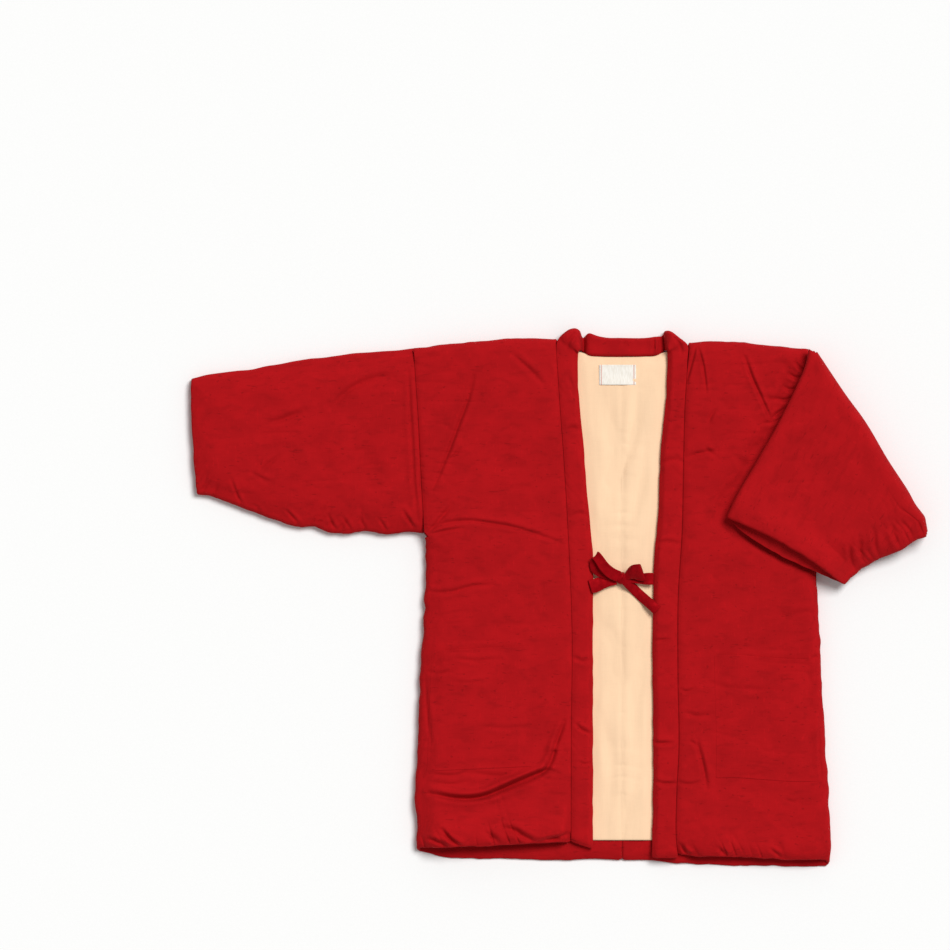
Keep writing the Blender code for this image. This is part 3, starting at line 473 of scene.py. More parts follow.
def puckers(along, away, layer, size, depth, reach, lean):
    """Height that a seam's gathers add: narrow troughs that start at the seam and fade out, no two alike."""
    place = along + lean * away * (1 + ragged(along, (0.6, 60, layer + 1)))
    trough = bell(uneven(place, 0.15 * away, size, layer), 0.22)
    length = reach * (1.1 + ragged(along, (0.8, size * 2.3, layer + 2)))
    depth = depth * (0.2 + 1.2 * rise(-0.3, 0.6, ragged(along, (1, size * 2.7, layer + 3))))
    return -depth * trough * np.exp(-away / np.maximum(length, 3.0)) * (1 - np.exp(-away / 1.5) * 0.5)


def gathered(*seams):
    """Height that the puckers of seams add: for each the places, layer, size, depth, reach and lean."""
    return sum(puckers(*seam) for seam in seams)


def soft(x, y, layer):
    """How a padded layer that lies on a table is never quite even."""
    bumps = ((1.5, 95), (0.8, 47), (0.34, 21), (0.16, 11))
    folds = bell(uneven(x * 0.22, y, 15, layer + 4), 0.16) * rise(0.1, 0.6, uneven(x, y, 60, layer + 5))
    return sum(high * uneven(x, y, size, layer + k) for k, (high, size) in enumerate(bumps)) - 0.8 * folds


# The halves of the body


def inside(half, edge, x, y):
    """How far a place is inside an edge of a half, straight across. The flank is the side and the armhole."""
    if edge == "flank":
        return np.where(y > ARMPIT_Y, inside(half, "armhole", x, y), inside(half, "side", x, y))
    if edge in ("side", "armhole"):
        return (curve(half[edge], y) - x) * half["out"]
    if edge == "seam":
        return (x - curve(half[edge], y)) * half["out"]
    return curve(half[edge], x) - y if edge in ("shoulder", "neck") else y - curve(half[edge], x)


def own_creases(half):
    return [c for c in FRONT_CREASES if (c[2][0] > CENTRE_BACK) == (half is LEFT)]


def distance_in(half, x, y, hem):
    """Distance from the nearest of the side, shoulder and hem, as it counts for the swell."""
    from_side = inside(half, "flank", x, y)
    from_side = mix(from_side, eased(from_side, SEWN), rise(70, 104, y))
    if half is LEFT:
        from_side = eased(from_side, FOLDED)
    from_top = eased(inside(half, "shoulder", x, y), FOLDED)
    return np.maximum(0, least(from_side, from_top, inside(half, hem, x, y)))


def back_height(half, x, y):
    from_hem = inside(half, "back_hem", x, y)
    return BODY_WALL * swell(distance_in(half, x, y, "back_hem")) * roll(from_hem, BACK_ROLL, BACK_LOW)


def front_height(half, x, y):
    """Underside and top of a front. It lies on the back, thins at its seams, and is creased and puckered."""
    from_seam, from_side, from_flank, from_hem, from_top = (
        inside(half, edge, x, y) for edge in ("seam", "side", "flank", "front_hem", "shoulder")
    )
    from_edge = distance_in(half, x, y, "front_hem")
    full = np.minimum(from_edge, eased(from_seam, SEWN))
    layer = 0 if half is RIGHT else 20
    lift = curve(half["hem_lift"], x) * (1 + ragged(x, (0.3, 38, 45))) * bell(from_hem, HEM_LIFTED)
    base = back_height(half, x, y) + BETWEEN + lift * rise(0, 26, from_side) * rise(0, 16, from_seam)
    relief = soft(x, y, layer) * rise(0, 30, least(full, from_seam + 8, from_flank + 8))
    relief += seam_dip(from_seam) + seam_dip(from_flank) * rise(84, 104, y) * armhole_depth(y)
    if half is LEFT:
        wide = 14 + 6 * rise(220, 300, y) + ragged(x + y, (4, 14, 47))
        relief -= FLAP_PRESS * bell(from_line(FLAP_RIM, x, y)[0], wide)
    relief += creased(own_creases(half), x, y)
    relief += gathered(
        (x, from_hem, layer + 6, 13, 3.4, 16, 0.35), (y, from_flank, layer + 8, 17, 1.0, 10, 0.2),
        (y, from_seam, layer + 10, 19, 0.7, 12, 0.25), (x, from_top, layer + 12, 24, 0.7, 12, 0.1),
    )
    reach = HEM_ROLL * (1 + ragged(x, (0.35, 24, layer + 14), (0.15, 9, layer + 15)))
    wall = (BODY_WALL + 1.0) * swell(full) * roll(from_hem, reach)
    return base, base + np.maximum(THIN_LEAST, wall + relief * mix(0.45, 1.0, rise(0, 8, from_edge)))


class Skins:
    """The outer and inner skin of a piece of padded cloth, as grids of points that share their edges."""

    def __init__(self):
        self.outer, self.inner, self.quads, self.count, self.tight = [], [], [], 0, set()

    def grid(self, outer, inner):
        """Adds a grid of points and gives its numbers."""
        shape = outer.shape[:2]
        self.outer.append(outer.reshape(-1, 3))
        self.inner.append(inner.reshape(-1, 3))
        self.count += shape[0] * shape[1]
        return np.arange(self.count - shape[0] * shape[1], self.count).reshape(shape)

    def fill(self, numbers, flip=False):
        """Adds the quads between numbered points, whose rows go up and columns to the right."""
        corners = [numbers[:-1, :-1], numbers[:-1, 1:], numbers[1:, 1:], numbers[1:, :-1]]
        quads = np.stack([c.ravel() for c in corners], -1)
        self.quads.append(quads[:, ::-1] if flip else quads)

    def sew(self, *rows):
        """Marks the points of edges that are sewn to another piece."""
        self.tight |= {int(n) for row in rows for n in np.ravel(row)}

    def solid(self, name, rim=RIM, steps=3, skin=None):
        """The closed piece between the skins, with a rounded rim along every free edge."""
        outer, inner = np.concatenate(self.outer), np.concatenate(self.inner)
        quads = np.concatenate(self.quads)
        count = len(outer)
        directed = {(int(q[i]), int(q[(i + 1) % 4])) for q in quads for i in range(4)}
        free = sorted((a, b) for a, b in directed if (b, a) not in directed)
        away = {}
        for a, b in free:
            through = outer[a] - inner[a] + outer[b] - inner[b]
            side = unit(np.cross(outer[b] - outer[a] + inner[b] - inner[a], through))
            for end in (a, b):
                away[end] = away.get(end, 0) + side
        turns = [math.pi * k / (steps + 1) for k in range(1, steps + 1)]
        rows, extra = {}, []
        for end, side in away.items():
            middle, half = (outer[end] + inner[end]) / 2, (outer[end] - inner[end]) / 2
            start = 2 * count + len(extra)
            rows[end] = [end, *range(start, start + steps), end + count]
            side = unit(side) * (SEAM_RIM if end in self.tight else rim)
            extra += [middle + half * math.cos(t) + side * math.sin(t) for t in turns]
        faces = [*quads.tolist(), *(quads[:, ::-1] + count).tolist()]
        for a, b in free:
            faces += [(rows[b][k], rows[a][k], rows[a][k + 1], rows[b][k + 1]) for k in range(steps + 1)]
        made = cloth_object(name, np.concatenate([outer, inner, np.array(extra).reshape(-1, 3)]), faces)
        if skin is not None:
            shares = np.zeros(len(made.data.vertices), np.float32)
            shares[np.ravel(skin)] = 1
            made.data.attributes.new("skin", "FLOAT", "POINT").data.foreach_set("value", shares)
        return made


def refine(piece, height, zones):
    """Halves the quads of the marked skin, once for each zone, and sets the height of all its points."""
    mesh = bmesh.new()
    mesh.from_mesh(piece.data)
    on_skin = mesh.verts.layers.float["skin"]
    for zone in zones:
        faces = [f for f in mesh.faces if all(v[on_skin] > 0.99 for v in f.verts)]
        x, y = np.array([f.calc_center_median()[:2] for f in faces]).T / MM
        edges = {e for k in np.flatnonzero(zone(x, y)) for e in faces[k].edges}
        bmesh.ops.subdivide_edges(mesh, edges=sorted(edges, key=lambda e: e.index), cuts=1, use_grid_fill=True)
        mesh.edges.index_update()
    points = [v for v in mesh.verts if v[on_skin] > 0.99]
    x, y = np.array([v.co[:2] for v in points]).T / MM
    for v, z in zip(points, height(x, y) * MM):
        v.co.z = z
    mesh.to_mesh(piece.data)
    mesh.free()
    piece.data.shade_smooth()


def everywhere(x, y):
    return np.isfinite(x)


def creased_zone(half):
    """Where the front needs its points twice as close: near its creases, seams and hem."""
    even = [(width, 1.0, *points) for width, depth, *points in own_creases(half) if width < 6]

    def zone(x, y):
        near = np.minimum(inside(half, "flank", x, y) + 6, inside(half, "front_hem", x, y) - 10)
        return (near < 10) | (np.abs(creased(even, x, y)) > 0.12)

    return zone


def in_scene(name, data):
    """A new object at the origin."""
    made = bpy.data.objects.new(name, data)
    bpy.context.scene.collection.objects.link(made)
    return made


def cloth_object(name, points, faces, cloth=None):
    """An object whose place is in its mesh, with each point's place on the uncut cloth as an attribute."""
    mesh = bpy.data.meshes.new(name)
    mesh.from_pydata((points * MM).tolist(), [], [list(f) for f in faces])
    mesh.shade_smooth()
    places = mesh.attributes.new("cloth", "FLOAT_VECTOR", "POINT")
    places.data.foreach_set("vector", ((points if cloth is None else cloth) * MM).astype(np.float32).ravel())
    return in_scene(name, mesh)


def round_edge(x, y, towards, height, wall):
    """Outer and inner points round a folded edge, from the underside up, for a row of flat places."""
    outer, inner = [], []
    for turn in half_turn(5):
        rising = (1 + math.sin(turn)) / 2
        reach, within = FOLD_REACH * math.cos(turn), (FOLD_REACH - wall) * math.cos(turn)
        outer.append(spots(x + towards[0] * reach, y + towards[1] * reach, height * rising))
        inner.append(spots(x + towards[0] * within, y + towards[1] * within, wall + BETWEEN * rising))
    return np.stack(outer, 1), np.stack(inner, 1)


def body_place(half, u, v, hem):
    """Plan position on a half, at share u from the side to the collar seam and v from hem to shoulder."""
    out = half["out"]
    x = np.full(np.shape(u), 90.0 + out * 130)
    inset = mix(FOLD_REACH, SEAM_RIM + SEAM / 2, rise(ARMPIT, ARMPIT + 0.012, v))
    for _ in range(5):
        low, high = curve(half[hem], x) + RIM, curve(half["shoulder"], x) - FOLD_REACH
        y = mix(low, high, v)
        side = np.where(v <= ARMPIT, curve(half["side"], y), curve(half["armhole"], y)) - out * inset
        x = mix(side, curve(half["seam"], y) + out * (SEAM_RIM + SEAM / 2), u)
    rough = ragged(y, (1.0, 17, 40 + out), (0.8, 7, 42 + out)) + 0.6
    rough_hem = ragged(x, (1.0, 19, 44 + out), (0.5, 8, 46 + out)) + 0.6
    x = x - out * rough * (1 - rise(0, 0.08, u)) * (1 - rise(ARMPIT - 0.01, ARMPIT, v))
    rough_top = ragged(x, (0.8, 25, 35 + out), (0.5, 9, 37 + out)) - 0.3
    return x, y + rough_hem * (1 - rise(0, 0.02, v)) + rough_top * rise(0.95, 1, v)


def body(name, half):
    """Front and back in one panel: joined round the shoulder and the side, open at the hem and armhole."""
    out, skins = half["out"], Skins()
    below = np.linspace(0, ARMPIT, 1 + round(ARMPIT * FRONT_SPAN[1] / GRID))
    above = np.linspace(ARMPIT, 1, 1 + round((1 - ARMPIT) * FRONT_SPAN[1] / GRID))
    shares = np.concatenate([below, above[1:]])
    armpit, last = len(below) - 1, len(shares) - 1
    u, v = np.meshgrid(np.linspace(0, 1, 1 + round(FRONT_SPAN[0] / GRID)), shares)
    front_x, front_y = body_place(half, u, v, "front_hem")
    low, top = front_height(half, front_x, front_y)
    front = skins.grid(spots(front_x, front_y, top), spots(front_x, front_y, low))
    x, y = body_place(half, u, v, "back_hem")
    across = np.linspace(0, 1, 1 + round(abs(CENTRE_BACK - x[0, -1]) / GRID))[1:]
    more_x = mix(x[:, -1:], CENTRE_BACK + out * (SEAM_RIM + SEAM / 2), across[None, :])
    foot = curve(half["back_hem"], more_x) + RIM
    head = np.minimum(curve(half["neck"], more_x) - SEAM_RIM, curve(half["shoulder"], more_x) - FOLD_REACH)
    more_y = mix(foot, mix(y[last, -1], head[last], rise(0, 0.25, across))[None, :], shares[:, None])
    back_x, back_y = np.hstack([x, more_x]), np.hstack([y, more_y])
    under = rise(0, 30, inside(half, "seam", x, y)) * rise(0, 20, inside(half, "side", x, y))
    sunk = HEM_SINK * under * bell(inside(half, "front_hem", x, y), 14)
    from_hem = inside(half, "back_hem", x, y)
    flatter = mix(1, roll(from_hem, 27, 0.2) / roll(from_hem, BACK_ROLL, BACK_LOW), under)
    wall = np.hstack([
        back_height(half, x, y) * (1 - sunk) * flatter,
        BODY_WALL * swell(least(more_y - foot, head - more_y + 8, 60))
        * roll(more_y - foot + RIM, BACK_ROLL, BACK_LOW),
    ])
    back = skins.grid(spots(back_x, back_y, 0), spots(back_x, back_y, wall))
    skins.fill(front, out > 0)
    skins.fill(back, out < 0)
    side = slice(0, armpit + 1)
    arcs = round_edge(x[side, 0], y[side, 0], (out, 0), top[side, 0], wall[side, 0])
    share = np.linspace(0, 1, arcs[0].shape[1] + 2)[1:-1]
    for arc in arcs:
        arc[..., 0] += (front_x[side, 0] - x[side, 0])[:, None] * share
        arc[..., 1] += (front_y[side, 0] - y[side, 0])[:, None] * share
    numbers = skins.grid(*arcs)
    skins.fill(np.hstack([back[side, :1], numbers, front[side, :1]]), out > 0)
    width = front.shape[1]
    numbers = skins.grid(*round_edge(x[last], y[last], (0, 1), top[last], wall[last, :width]))
    skins.fill(np.hstack([back[last, :width, None], numbers, front[last][:, None]]), out > 0)
    skins.sew(front[:, -1], back[:, -1], back[last, width - 1 :], front[armpit + 1 :, 0], back[armpit + 1 :, 0])
    return skins.solid(name, skin=front)


def overlay(name, x, y, base, thickness, flip, rim):
    """A thin piece that lies on a panel: its underside follows the panel's height."""
    skins = Skins()
    skins.fill(skins.grid(spots(x, y, base + ON_PANEL + thickness), spots(x, y, base + ON_PANEL)), flip)
    return skins.solid(name, rim=rim, steps=2)


def pocket(name, half):
    """A patch pocket: thin at its sewn edges, a little fuller inside, its mouth standing slightly open."""
    u, v = np.meshgrid(*(np.linspace(*run, n) for run, n in zip((POCKET_ACROSS, POCKET_UP), POCKET_POINTS)))
    x, y = body_place(half, u, v, "front_hem")
    sewn = least(np.abs(x - x[:, :1]), np.abs(x - x[:, -1:]), 0.6 + y - y[:1])
    mouth = y[-1:] - y
    full = rise(0, 22, np.minimum(sewn, mouth + 10))
    thickness = mix(0.1, POCKET_WALL, full) + 0.35 * full * (1 + uneven(x, y, 22, 64))
    thickness += 0.4 * np.exp(-(y - y[:1]) / 3) * rise(0, 20, np.abs(x - x[:, :1]))
    thickness += 1.3 * np.exp(-mouth / 3.5) * rise(0, 18, sewn) * (1 + ragged(x, (0.6, 26, 65)))
    thickness += 0.4 * puckers(x + y, np.minimum(sewn, mouth + 8), 66, 12, 0.8, 6, 0.2) * full
    return overlay(name, x, y, front_height(half, x, y)[1] - 0.2, thickness, half is LEFT, 0.3)


def lining(name, half):
    """Half of the lining, where the open front shows it, with soft folds and a seam down the centre back."""
    out = half["out"]
    a, v = (np.linspace(0, end, n) for end, n in zip((0.9995, 1), LINING_POINTS))
    a, v = np.meshgrid(np.append(a, 1), v)
    y = mix(LINING_FOOT, 360.0, v)
    for _ in range(3):
        x = mix(curve(half["seam"], y) - out * LINING_INSET, CENTRE_BACK + out * (0.005 + LINING_RIM), a)
        y = mix(LINING_FOOT, curve(half["neck"], x) - LINING_RIM, v)
    from_neck, from_centre = inside(half, "neck", x, y), np.abs(x - CENTRE_BACK)
    low = BODY_WALL * swell(least(inside(half, "back_hem", x, y) - RIM, from_neck + 8, 60))
    clear = least(x - curve(RIGHT["edge"], y), curve(LEFT["edge"], y) - x, from_neck)
    height = 1.4 + 0.9 * uneven(x, y, 60, 70) + 0.5 * uneven(x, y, 27, 71) + creased(LINING_CREASES, x, y)
    height -= bell(from_centre, 5.0)
    height += puckers(y, from_centre, 72, 20, 0.8, 9, 0.2)
    low += np.maximum(height, 0.1) * rise(0, 16, clear)
    return overlay(name, x, y, low, LINING_WALL, out > 0, LINING_RIM)


# The sleeves


def sleeve_right():
    """A flattened tube, folded along its top and sewn along its lower edge, open at the cuff and armhole."""
    skins = Skins()
    w, f = np.meshgrid(*(np.linspace(0, 1, 1 + round(span / SLEEVE_GRID)) for span in SLEEVE_SPAN))
    x, y = np.full(w.shape, -380.0), np.full(w.shape, 230.0)
    for _ in range(5):
        x = mix(curve(RIGHT["armhole"], y) - SEAM_RIM - SEAM / 2, curve(CUFF, y) + RIM, f)
        low, high = curve(SLEEVE_SEAM, x) + FOLD_REACH, curve(SLEEVE_TOP, x) - FOLD_REACH
        y = mix(low, high, w)
    rough, rough_top = ragged(x, (0.8, 15, 48), (0.4, 6, 49)) + 0.5, ragged(x, (0.7, 22, 33)) - 0.3
    y = y + rough * (1 - rise(0, 0.08, w)) + rough_top * rise(0.95, 1, w)
    x = x + (ragged(y, (0.6, 13, 50)) + 0.4) * rise(0.94, 1, f)
    ends = np.minimum(y - low, high - y)
    from_arm, from_cuff = curve(RIGHT["armhole"], y) - x, x - curve(CUFF, y)
    wall = SLEEVE_WALL * swell(least(ends, eased(from_arm, SEWN), from_cuff))
    relief = soft(x, y, 30) * rise(0, 30, least(ends, from_arm + 8, from_cuff))
    relief += seam_dip(from_arm) * armhole_depth(y) + 2.6 * np.exp(-from_arm / 40)
    relief += creased(SLEEVE_CREASES, x, y)
    relief += gathered(
        (x, y - low, 36, 8, 3.6, 15, -0.6), (y, from_arm, 38, 21, 0.7, 12, 0.15),
        (y, from_cuff, 14, 12, 0.7, 9, 0.1),
    )
    top = 2 * wall + BETWEEN + relief * mix(0.5, 1.0, rise(0, 8, ends))
    under = skins.grid(spots(x, y, 0), spots(x, y, wall))
    upper = skins.grid(spots(x, y, top), spots(x, y, wall + BETWEEN))
    fold, seam = (
        skins.grid(*round_edge(x[:, k], y[:, k], (0, up), top[:, k], wall[:, k]))
        for k, up in ((-1, 1), (0, -1))
    )
    skins.fill(np.hstack([under, fold, upper[:, ::-1], seam[:, ::-1], under[:, :1]]), True)
    skins.sew(under[0], fold[0], upper[0], seam[0])
    return skins.solid("sleeve_right_cloth")


def level_ring(low, top, low_level, top_level, reach, ahead=None, steps=5):
    """A flattened ring: its first side, a round end, its second side and a round end. Plan, level and share."""
    ahead = unit(low[1] - low[0]) if ahead is None else ahead
    first = (low, low_level, unit(low[-1] - low[-2]) * reach)
    second = (top[::-1], top_level[::-1], -ahead * reach)
    plan, level, turns = [], [], half_turn(steps)
    for (here, height, onward), (there, height_there, _) in ((first, second), (second, first)):
        plan += [*here, *(mix(here[-1], there[0], (1 + math.sin(t)) / 2) + onward * math.cos(t) for t in turns)]
        middle, half = (height[-1] + height_there[0]) / 2, (height_there[0] - height[-1]) / 2
        level += [*height, *(middle + half * math.sin(t) for t in turns)]
    share = np.linspace(0, 1, len(low))
    return np.array(plan), np.array(level), np.array([*share, *[1] * steps, *share[::-1], *[0] * steps])


def ring_faces(rings, around):
    """Quads from each ring of points to the next."""
    k = np.arange(around)
    quads = np.stack([k, np.roll(k, -1), np.roll(k, -1) + around, k + around], -1)
    return (quads + around * np.arange(rings - 1)[:, None, None]).reshape(-1, 4).tolist()


def loft(name, rings, cloths, sides):
    """A closed piece through rings of points, with both flat ends closed by strips."""
    around = len(rings[0])
    steps = (around - 2 * sides) // 2
    top = 2 * sides + steps - 1
    faces = ring_faces(len(rings), around)
    for first, reverse in ((0, True), ((len(rings) - 1) * around, False)):
        ring = range(first, first + around)
        strips = [(ring[n], ring[n + 1], ring[top - 1 - n], ring[top - n]) for n in range(sides - 1)]
        ends = [ring[sides - 1 : sides + steps + 1], [*ring[top:], ring[0]]]
        strips += [(e[0], e[n], e[n + 1]) for e in ends for n in range(1, steps + 1)]
        faces += [s[::-1] for s in strips] if reverse else strips
    return cloth_object(name, np.concatenate(rings), faces, np.concatenate(cloths))


def sag(x, y):
    """How far the folded sleeve sinks where neither its own stub nor the front carries it."""
    free = np.minimum(STUB_CORNER[1] - y, x - STUB_CORNER[0])
    return SAG * np.sin(np.clip(free / SAG_REACH, 0, 1) * math.pi / 2) ** 2


def sleeve_left():
    """The sleeve lies out from the armhole, folds over, and comes back over the front to its open cuff."""
    share = np.linspace(0, 1, 1 + round(SLEEVE_WIDTH / SLEEVE_GRID))
    profile = swell(np.minimum(SEWN[0] + share * SLEEVE_WIDTH, (1 - share) * SLEEVE_WIDTH))
    shares = mix(0.02, 0.985, share)
    ahead = unit(np.subtract(FOLD_EDGE[-1][1:], FOLD_EDGE[0][1:]))
    outward = np.array([-ahead[1], ahead[0]])
    flatness = FOLD_FLATNESS * np.minimum(1.0, 0.2 + 5 * np.minimum(shares, 1 - shares))
    sunk = (((STUB_HEIGHT + FLAP_HEIGHT) / 2 * profile + ON_PANEL) * flatness)[:, None]
    axis = path(FOLD_EDGE, shares) - outward * sunk
    chord = mix(axis[0], axis[-1], share[:, None])
    start = mix(*STUB_START, share[:, None])
    contact, zero = STUB_HEIGHT + ON_PANEL, np.zeros(len(share))
    round_cloth = 0.8 * STUB_HEIGHT  # cloth taken up by the fold
    full = FLAP_HEIGHT * profile
    along = unit(path(FLAP_TOP, 1) - path(FLAP_TOP, 0) + path(FLAP_SEAM, 1) - path(FLAP_SEAM, 0))
    rough = ragged(share * SLEEVE_WIDTH, (0.8, 22, 53), (0.4, 8, 54))[:, None]
    rings, cloths = [], []

    for f in np.linspace(0, 1, STUB_RINGS):
        line = mix(start, axis, f)
        plan, level, across = level_ring(line, line, zero, STUB_HEIGHT * profile, FOLD_REACH)
        whole = STUB_HEIGHT * np.interp(across, share, profile)
        rings.append(np.column_stack([plan, mix(whole - level, contact - ON_PANEL - level, f * f)]))
        cloths.append(np.column_stack([plan, level]))
    for turn in np.radians(np.linspace(-75, 75, FOLD_RINGS)):
        height = mix(STUB_HEIGHT, FLAP_HEIGHT, (turn / math.pi) + 0.5)
        plan, level, across = level_ring(axis, axis, zero, height * profile, FOLD_REACH * 0.5)
        out = np.interp(across, share, flatness) * (ON_PANEL + level) * math.cos(turn)
        bumps = 1 + ragged(across * SLEEVE_WIDTH, (0.02, 30, 52))
        up = contact + (ON_PANEL + level) * math.sin(turn)
        rings.append(np.column_stack([plan + outward * (out * bumps)[:, None], up]))
        cloths.append(np.column_stack([plan + outward * round_cloth * (turn / math.pi + 0.5), level]))

    def flap_ring(s, low_level, top_level, reach=FOLD_REACH, out=0.0, within=False):
        first, last = path(FLAP_TOP, s), path(FLAP_SEAM, s)
        here = unit(last - first)
        straight = mix(first + here * FOLD_REACH, last - here * FOLD_REACH, share[:, None])
        fade = max(0.0, (s - 0.5) * 2) ** 2
        bow_up, bow_low = (np.sin(math.pi * share**power)[:, None] * fade for power in (1.0, 0.7))
        middle = straight + (axis - chord) * (1 - s) ** 2 + along * (out + rough * float(rise(0.9, 1.0, s)))
        low, top = middle + along * CUFF_OUT * bow_low, middle - along * CUFF_BACK * bow_up
        plan, level, across = level_ring(low, top, low_level, top_level, reach, here)
        wobble = ragged(s * FLAP_LENGTH, (0.9, 16, 55), (0.5, 7, 56)) + 0.4
        plan = plan + np.outer(rise(0.93, 1.0, across), here) * wobble
        x, y = plan.T
        from_seam, from_top = (1 - across) * SLEEVE_WIDTH, across * SLEEVE_WIDTH
        relief = soft(x, y, 16) * rise(0, 30, np.minimum(from_seam, from_top)) * rise(0, 0.15, s)
        relief += creased(FLAP_CREASES, x, y)
        relief += gathered(
            (s * FLAP_LENGTH + 0 * x, from_seam, 26, 11, 3.4, 20, 0.1),
            (from_top, (1 - s) * CUFF_AWAY + 0 * x, 28, 15, 0.9, 9, 0.1),
        )
        relief = 0 * x if within else relief * np.clip(level / FLAP_HEIGHT, 0, 1) ** 2
        lift = CUFF_LIFT * rise(0.72, 1, s) + CUFF_OPEN * rise(0.8, 1, s) * rise(0.1, 0.3, level / FLAP_HEIGHT)
        lift = lift * np.sqrt(np.sin(math.pi * np.clip(across, 0.02, 0.98)))
        rings.append(np.column_stack([plan, contact + ON_PANEL + level - sag(x, y) + relief + lift]))
        back = plan - axis[0]
        mirrored = axis[0] + 2 * np.outer(back @ ahead, ahead) - back
        cloths.append(np.column_stack([mirrored + outward * round_cloth, level]))

    def fullness(s):
        return float(swell((1 - s) * SLEEVE_WIDTH))

    for s in np.linspace(0.0, CUFF_END, FLAP_RINGS):
        flap_ring(s, zero, full * fullness(s))
    rim_full = full * THIN_AT_SEAMS
    for turn in np.radians((36, 72, 108, 144)):
        inwards = (1 - math.cos(turn)) / 2
        lips = rim_full * MOUTH_LOW * inwards, rim_full * mix(1, MOUTH_HIGH, inwards)
        flap_ring(CUFF_END, *lips, mix(FOLD_REACH, MOUTH_REACH, inwards), RIM * math.sin(turn))
    for s in np.linspace(CUFF_END, MOUTH_DEEP, MOUTH_RINGS):
        whole, apart = full * fullness(s), float(rise(0.885, CUFF_END, s))
        lips = whole * mix(MOUTH_SHUT[0], MOUTH_LOW, apart), whole * mix(MOUTH_SHUT[1], MOUTH_HIGH, apart)
        flap_ring(s, *lips, MOUTH_REACH, within=True)
    return loft("sleeve_left_cloth", rings, cloths, len(share))


# Collar, ties and label


def collar_ring(inner, outer, low, height, end=1.0):
    """A section of the folded band: flat below, rounded and thinner at its folded edge, tight at its seam."""
    inner, outer = np.array(inner), np.array(outer)
    half_width = np.linalg.norm(outer - inner) / 2
    across = np.sin(np.linspace(math.pi / 2, -math.pi / 2, COLLAR_COLUMNS))
    across = np.concatenate([across, across[-2:0:-1]])
    upper = np.arange(len(across)) < COLLAR_COLUMNS
    sewn = rise(12, 14, low)
    plan = (inner + outer) / 2 + (outer - inner) / 2 * across[:, None]
    x, y = plan.T
    long = x + y
    from_fold, from_seam = (1 + across) * half_width, (1 - across) * half_width
    tight = mix(COLLAR_FREE_ROUND, COLLAR_SEWN_ROUND, sewn)
    rounding = roll(from_fold, COLLAR_FOLD_ROUND, 0) * roll(from_seam, tight, 0)
    whole = height * mix(1, mix(COLLAR_FOLD_THIN, 1, rise(0, 9, from_fold)), sewn) * end
    relief = creased(COLLAR_CREASES, x, y) + 0.5 * uneven(x, y, 34, 57) + 0.25 * uneven(x, y, 13, 58)
    relief += gathered((long, from_fold, 59, 16, 0.7, 9, 0.2), (long + 500, from_seam, 60, 16, 0.7, 9, 0.2))
    relief += (seam_dip(from_seam) - 1.5) * sewn
    level = np.where(upper, whole / 2 + (whole / 2 + relief) * rounding, whole / 2 * (1 - rounding))
    rough = ragged(long, (0.6, 15, 61)) * rise(0.8, 1.0, -across * mix(np.sign(-across), 1, sewn))
    plan = plan + (outer - inner) / (2 * half_width) * rough[:, None] * np.sign(across)[:, None]
    return np.column_stack([plan, low + level])


def collar():
    """One band from the right front hem, round the back neck, to the left front hem."""

    def run(half, foot):
        for y in np.arange(foot, COLLAR_TOP, COLLAR_STEP):
            slant = max(0.0, 1 - (y - foot) / COLLAR_SLANT_REACH) * COLLAR_SLANT if half is RIGHT else 0.0
            outer = (float(curve(half["seam"], y)) - half["out"] * SEAM / 2, y + slant)
            end = float(roll(y - foot + 1.5, *COLLAR_END_ROLL))
            yield collar_ring((float(curve(half["edge"], y)), y), outer, COLLAR_REST, COLLAR_HEIGHT, end)

    neck = [collar_ring(row[:2], row[2:4], max(row[4], 0.0), row[5]) for row in samples(COLLAR_NECK, 6)]
    rings = [*run(RIGHT, COLLAR_ENDS[0]), *neck, *list(run(LEFT, COLLAR_ENDS[1]))[::-1]]
    ends = [
        [ring.mean(0) + (ring - ring.mean(0)) * size - (0, out, 0) for size, out in ((0.6, 1.5), (0.92, 0.9))]
        for ring in (rings[0], rings[-1])
    ]
    rings = [*ends[0], *rings, *ends[1][::-1]]
    around = len(rings[0])
    final = (len(rings) - 1) * around
    faces = [*ring_faces(len(rings), around), range(around)[::-1], range(final, final + around)]
    return cloth_object("collar_cloth", np.concatenate(rings), faces)


def ribbon(name, rows, layer):
    """A soft satin tie along a path: x, y, z, the direction across it in degrees, its width and its tilt."""
    values = samples([(*row, 0)[:6] for row in rows], TIE_STEPS)
    middle, width = values[:, :3], values[:, 4]
    turn, tilt = np.radians(values[:, 3]), np.radians(values[:, 5])
    across = np.column_stack([np.cos(turn) * np.cos(tilt), np.sin(turn) * np.cos(tilt), np.sin(tilt)])
    through = np.cross(np.gradient(middle, axis=0), across)
    through = (through / np.linalg.norm(through, axis=1)[:, None])[:, None]
    run = np.concatenate([[0], np.cumsum(np.linalg.norm(np.diff(middle, axis=0), axis=1))])
    c, r = np.meshgrid(np.linspace(-1, 1, TIE_STEPS), run)
    narrow = 1 - rise(7, 17, width)[:, None]
    dent = 0.8 * uneven(c * 5, r, 7, layer) + 0.6 * narrow * np.cos(c * 4.4 + 0.12 * r)
    dent -= (1.1 + 0.9 * uneven(0 * c, r, 16, layer + 1)) * c * c + 0.6 * c * uneven(0 * c, r, 12, layer + 2)
    grid = middle[:, None] + across[:, None] * (width[:, None] / 2 * c)[..., None] + through * dent[..., None]
    wall = through * TIE_WALL / 2
    skins = Skins()
    skins.fill(skins.grid(grid + wall, grid - wall), True)
    return skins.solid(name, rim=0.5, steps=2)


